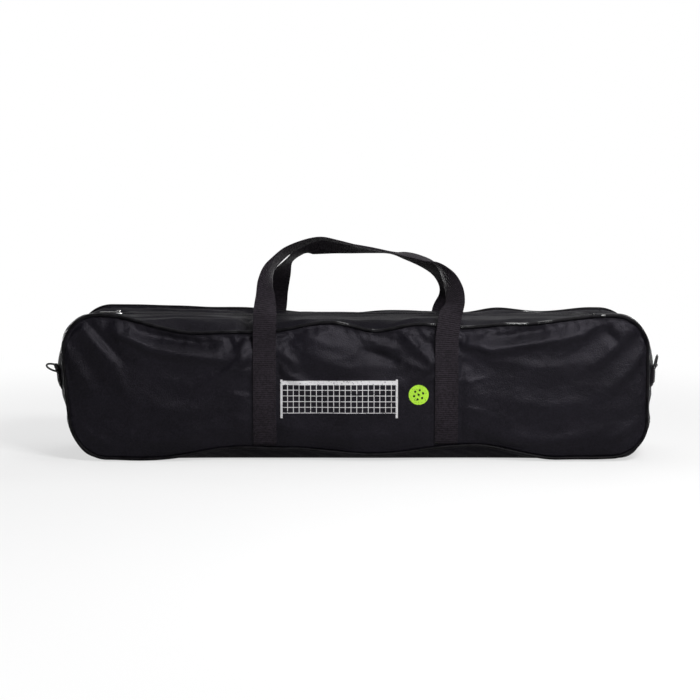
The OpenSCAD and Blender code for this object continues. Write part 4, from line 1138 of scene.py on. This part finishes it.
for side, name in ENDS:
    # from the foot of the tab up its outer layer, round the bar, and down its inner layer
    middle = LOOP_R + TAB_T / 2
    under = -LOOP_R + TAB_T / 2 + 0.25
    arc = [(middle * math.cos(a), 0, middle * math.sin(a)) for a in np.linspace(math.pi, -math.pi * 0.32, 15)]
    path = [(-middle, 0, z) for z in np.linspace(-TAB_LEN, -1, 12)] + arc
    path += [(blend(arc[-1][0], under, t), 0, blend(arc[-1][2], -6.5, ease(t)))
             for t in np.linspace(0.15, 1, 7)]
    path += [(under, 0, z) for z in np.linspace(-8, -TAB_LEN + 5, 8)]
    places = at_end(side, path)
    across = way_at_end(side, (0, 1, 0))
    tab = ribbon(f"{name}_ring_webbing", places, np.tile(across, (len(places), 1)), TAB_W, TAB_T * 0.96,
                 "webbing", edge=0.4)
    stand_in(tab, f"{name}_ring_tab")
    box = lines(TAB_STITCH, [(0, 1), (1, 2), (2, 3), (3, 0), (0, 2), (1, 3)], 12)
    runs = [at_end(side, np.column_stack([np.full(len(line), -LOOP_R + TAB_T + 0.3), line])) for line in box]
    out = way_at_end(side, (1, 0, 0))
    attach(stitches(f"{name}_tab_stitches", runs, out, pitch=3.2, length=2.3), "bag")
    finish_node(f"{name}_d_ring", "ring")
    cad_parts[f"{name}_d_ring"].data.shade_smooth()


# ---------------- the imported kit
LEGS = [f"{place}_{side}_leg" for place in ("left", "right", "centre") for side in ("front", "back")]
POSTS = [f"{place}_{kind}" for place in ("left", "right", "centre") for kind in ("post", "base_tee")]
for node in [f"crossbar_{i}" for i in range(1, 9)] + POSTS + LEGS:
    finish_node(node, "tube")
finish_node("post_caps", "plastic")
finish_node("net_fork", "plastic")
finish_node("leg_caps", "rubber")


def rounded_box(turn, half_w, half_h, power):
    """Distance of a rounded box's outline from its middle."""
    return (np.abs(np.cos(turn) / half_w) ** power + np.abs(np.sin(turn) / half_h) ** power) ** (-1 / power)


def bundle_section(x, turn):
    """Distance of the rolled net's surface from its middle, at a place along it and round it."""
    folds = 1.5 * np.sin(9 * turn + 0.6 * np.sin(x * 0.021) + 1.0)
    folds += 0.9 * np.sin(23 * turn + 1.4 * np.sin(x * 0.034 + 2.0))
    folds += 1.2 * np.sin(x * 0.06 + 3 * np.sin(turn)) * np.sin(turn * 2 + x * 0.01)
    tied = sum(near(x - NET_X - NET_LEN * share, 26) for share, _ in TIES)
    end = 1 - 0.1 * near(np.minimum(x - NET_X, NET_X + NET_LEN - x), 10)
    box = rounded_box(turn, NET_W / 2 - 1.5, NET_H / 2 - 1.5, 3.2)
    return (box - 1.6 + folds * (1 - 0.8 * tied) * 0.8 - 0.8 * tied) * end


END_RINGS = 8                     # layers of the rolled net that show at each end


def rolled_net():
    turns = np.linspace(0, 2 * math.pi, 120, endpoint=False)
    xs = np.linspace(NET_X, NET_X + NET_LEN, 150)
    x, turn = np.meshgrid(xs, turns, indexing="ij")
    r = bundle_section(x, turn)
    points = np.stack([x, r * np.cos(turn), NET_Z + r * np.sin(turn)], axis=2)
    meshes = round(2 * (NET_W + NET_H) * 0.86 / 11)      # whole meshes of 11 mm round the net
    uv = np.stack([turn / (2 * math.pi) * meshes * 11, x - NET_X], axis=2)
    vertices, uvs = points.reshape(-1, 3).tolist(), uv.reshape(-1, 2).tolist()
    faces = grid_faces(len(xs), len(turns), wrap=True)
    for end, sign in ((0, -1), (len(xs) - 1, 1)):
        outer = [end * len(turns) + j for j in range(len(turns))]
        for ring in range(1, END_RINGS + 1):
            share = 1 - ring / (END_RINGS + 1)
            dip = -sign * (1.8 if ring % 2 else 0.2)
            inner = [len(vertices) + j for j in range(len(turns))]
            vertices += [(px + dip, py * share, NET_Z + (pz - NET_Z) * share) for px, py, pz in points[end]]
            uvs += [(t * 40, ring * 5.0) for t in turns]
            quads = list(zip(outer, outer[1:] + outer[:1], inner[1:] + inner[:1], inner))
            faces += quads if sign > 0 else [quad[::-1] for quad in quads]
            outer = inner
        faces.append(tuple(outer) if sign > 0 else tuple(outer[::-1]))
    bundle = put("rolled_net", vertices, faces, "net", uvs)
    face_out(bundle)
    stand_in(bundle, "net_bundle")


def top_tape():
    """White top tape of the net, folded along the top of the roll."""
    x, y = np.meshgrid(np.linspace(NET_X + 6, NET_X + NET_LEN - 6, 150), np.linspace(-25, 25, 22))
    turn = np.arctan2(np.full_like(y, NET_H / 2), y + 4 * np.sin(x * 0.012))
    r = bundle_section(x, turn) + 1.7
    z = NET_Z + r * np.sin(turn) + 0.5 * np.sin(x * 0.05 + y * 0.1)
    z = np.minimum(z, NET_Z + NET_H / 2 - 0.3)
    band = cloth("net_top_tape_band", np.stack([x, r * np.cos(turn), z], axis=2), "tape_band", 1, 0.9)
    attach(band, "bag")


def net_tie(share, name):
    """A hook-and-loop strap round the net, whose end laps over its start."""
    turn = np.linspace(-0.5 * math.pi, 1.62 * math.pi, 110)
    lapped = ease((turn - 1.42 * math.pi) / 0.1)
    r = rounded_box(turn, NET_W / 2 + 1.3, NET_H / 2 + 1.3, 5.0) - 0.6 * (1 - lapped)
    places = np.stack([np.full(len(turn), NET_X + NET_LEN * share), -r * np.cos(turn),
                       NET_Z + r * np.sin(turn)], axis=1)
    widths = np.tile([1.0, 0, 0], (len(turn), 1))
    tie = ribbon(f"{name}_net_tie", places, widths, TIE_W, TIE_T, "tie", edge=0.3)
    stand_in(tie, f"net_tie_{name}")


rolled_net()
top_tape()
for share, name in TIES:
    net_tie(share, name)


# ---------------- floor and light
def show_behind(tree, lit, glow, share, target):
    """What is lit, mixed by share with a plain glow."""
    shown = add_node(tree, "MixShader", inputs={0: share, 1: Signal(tree, lit.outputs[0]), 2: glow})
    tree.links.new(shown.socket, tree.nodes[target].inputs["Surface"])


WHITE = {"Color": (1, 1, 1), "Strength": 1.0}

bpy.ops.mesh.primitive_plane_add(size=16, location=(0, 2.0, 0))
floor = bpy.context.object
floor.name = "floor"
bpy.ops.object.transform_apply(location=True)
pale = bpy.data.materials.new("pale_floor")
pale.use_nodes = True
tree = pale.node_tree
surface = tree.nodes["Principled BSDF"]
surface.inputs["Base Color"].default_value = (0.5, 0.5, 0.5, 1)
surface.inputs["Roughness"].default_value = 0.9
surface.inputs["Specular IOR Level"].default_value = 0.1
spot = add_node(tree, "TexCoord", out=3)
away = add_node(tree, "VectorMath", {"operation": "LENGTH"}, {0: spot}, out=1).ramp(0.55, 1.7)
seen, glossy = (add_node(tree, "LightPath", out=i) for i in (0, 3))
share = (seen * (0.62 + 0.38 * away) + glossy * (0.26 + 0.4 * away)).math("MINIMUM", 1.0)
show_behind(tree, surface, add_node(tree, "Emission", inputs=WHITE), share, "Material Output")
floor.data.materials.append(pale)

world = bpy.data.worlds.new("studio")
bpy.context.scene.world = world
world.use_nodes = True
tree = world.node_tree
ambient = tree.nodes["Background"]
ambient.inputs["Color"].default_value = (0.94, 0.96, 1.0, 1)
ambient.inputs["Strength"].default_value = 0.12
seen, glossy, through_glass = (add_node(tree, "LightPath", out=i) for i in (0, 3, 6))
way = add_node(tree, "TexCoord")
back, up = (add_node(tree, "SeparateXYZ", inputs={0: way}, out=i) for i in (1, 2))
backdrop = back.ramp(0.1, 0.5) * up.ramp(0.7, 0.4)
share = (seen + (glossy + through_glass) * backdrop).math("MINIMUM", 1.0)
show_behind(tree, ambient, add_node(tree, "Background", inputs=WHITE), share, "World Output")


def softbox(name, place, target, size, power):
    bpy.ops.object.light_add(type="AREA", location=place)
    lamp = bpy.context.object
    lamp.name = name
    lamp.data.shape = "RECTANGLE"
    lamp.data.size, lamp.data.size_y = size
    lamp.data.energy = power
    lamp.rotation_euler = (Vector(target) - Vector(place)).to_track_quat("-Z", "Y").to_euler()


softbox("key_softbox", (0.72, -1.55, 1.4), (0.12, -0.1, 0.15), (0.66, 0.36), 66)
softbox("top_softbox", (0.1, 0.1, 2.1), (0, 0, 0.1), (1.8, 0.5), 18)
softbox("left_softbox", (-2.3, 0.1, 1.0), (-0.4, 0, 0.15), (0.6, 0.9), 10)
softbox("right_softbox", (2.4, 0.5, 1.0), (0.4, 0, 0.15), (0.6, 0.8), 7)
softbox("back_left_softbox", (-1.0, 1.8, 0.12), (-0.2, 0, 0.12), (1.0, 0.2), 14)
softbox("back_right_softbox", (1.0, 1.8, 0.12), (0.2, 0, 0.12), (1.0, 0.2), 14)
softbox("back_softbox", (0.8, 1.6, 2.4), (0, 0, 0.15), (1.2, 0.8), 16)

bpy.context.scene.view_settings.view_transform = "Standard"
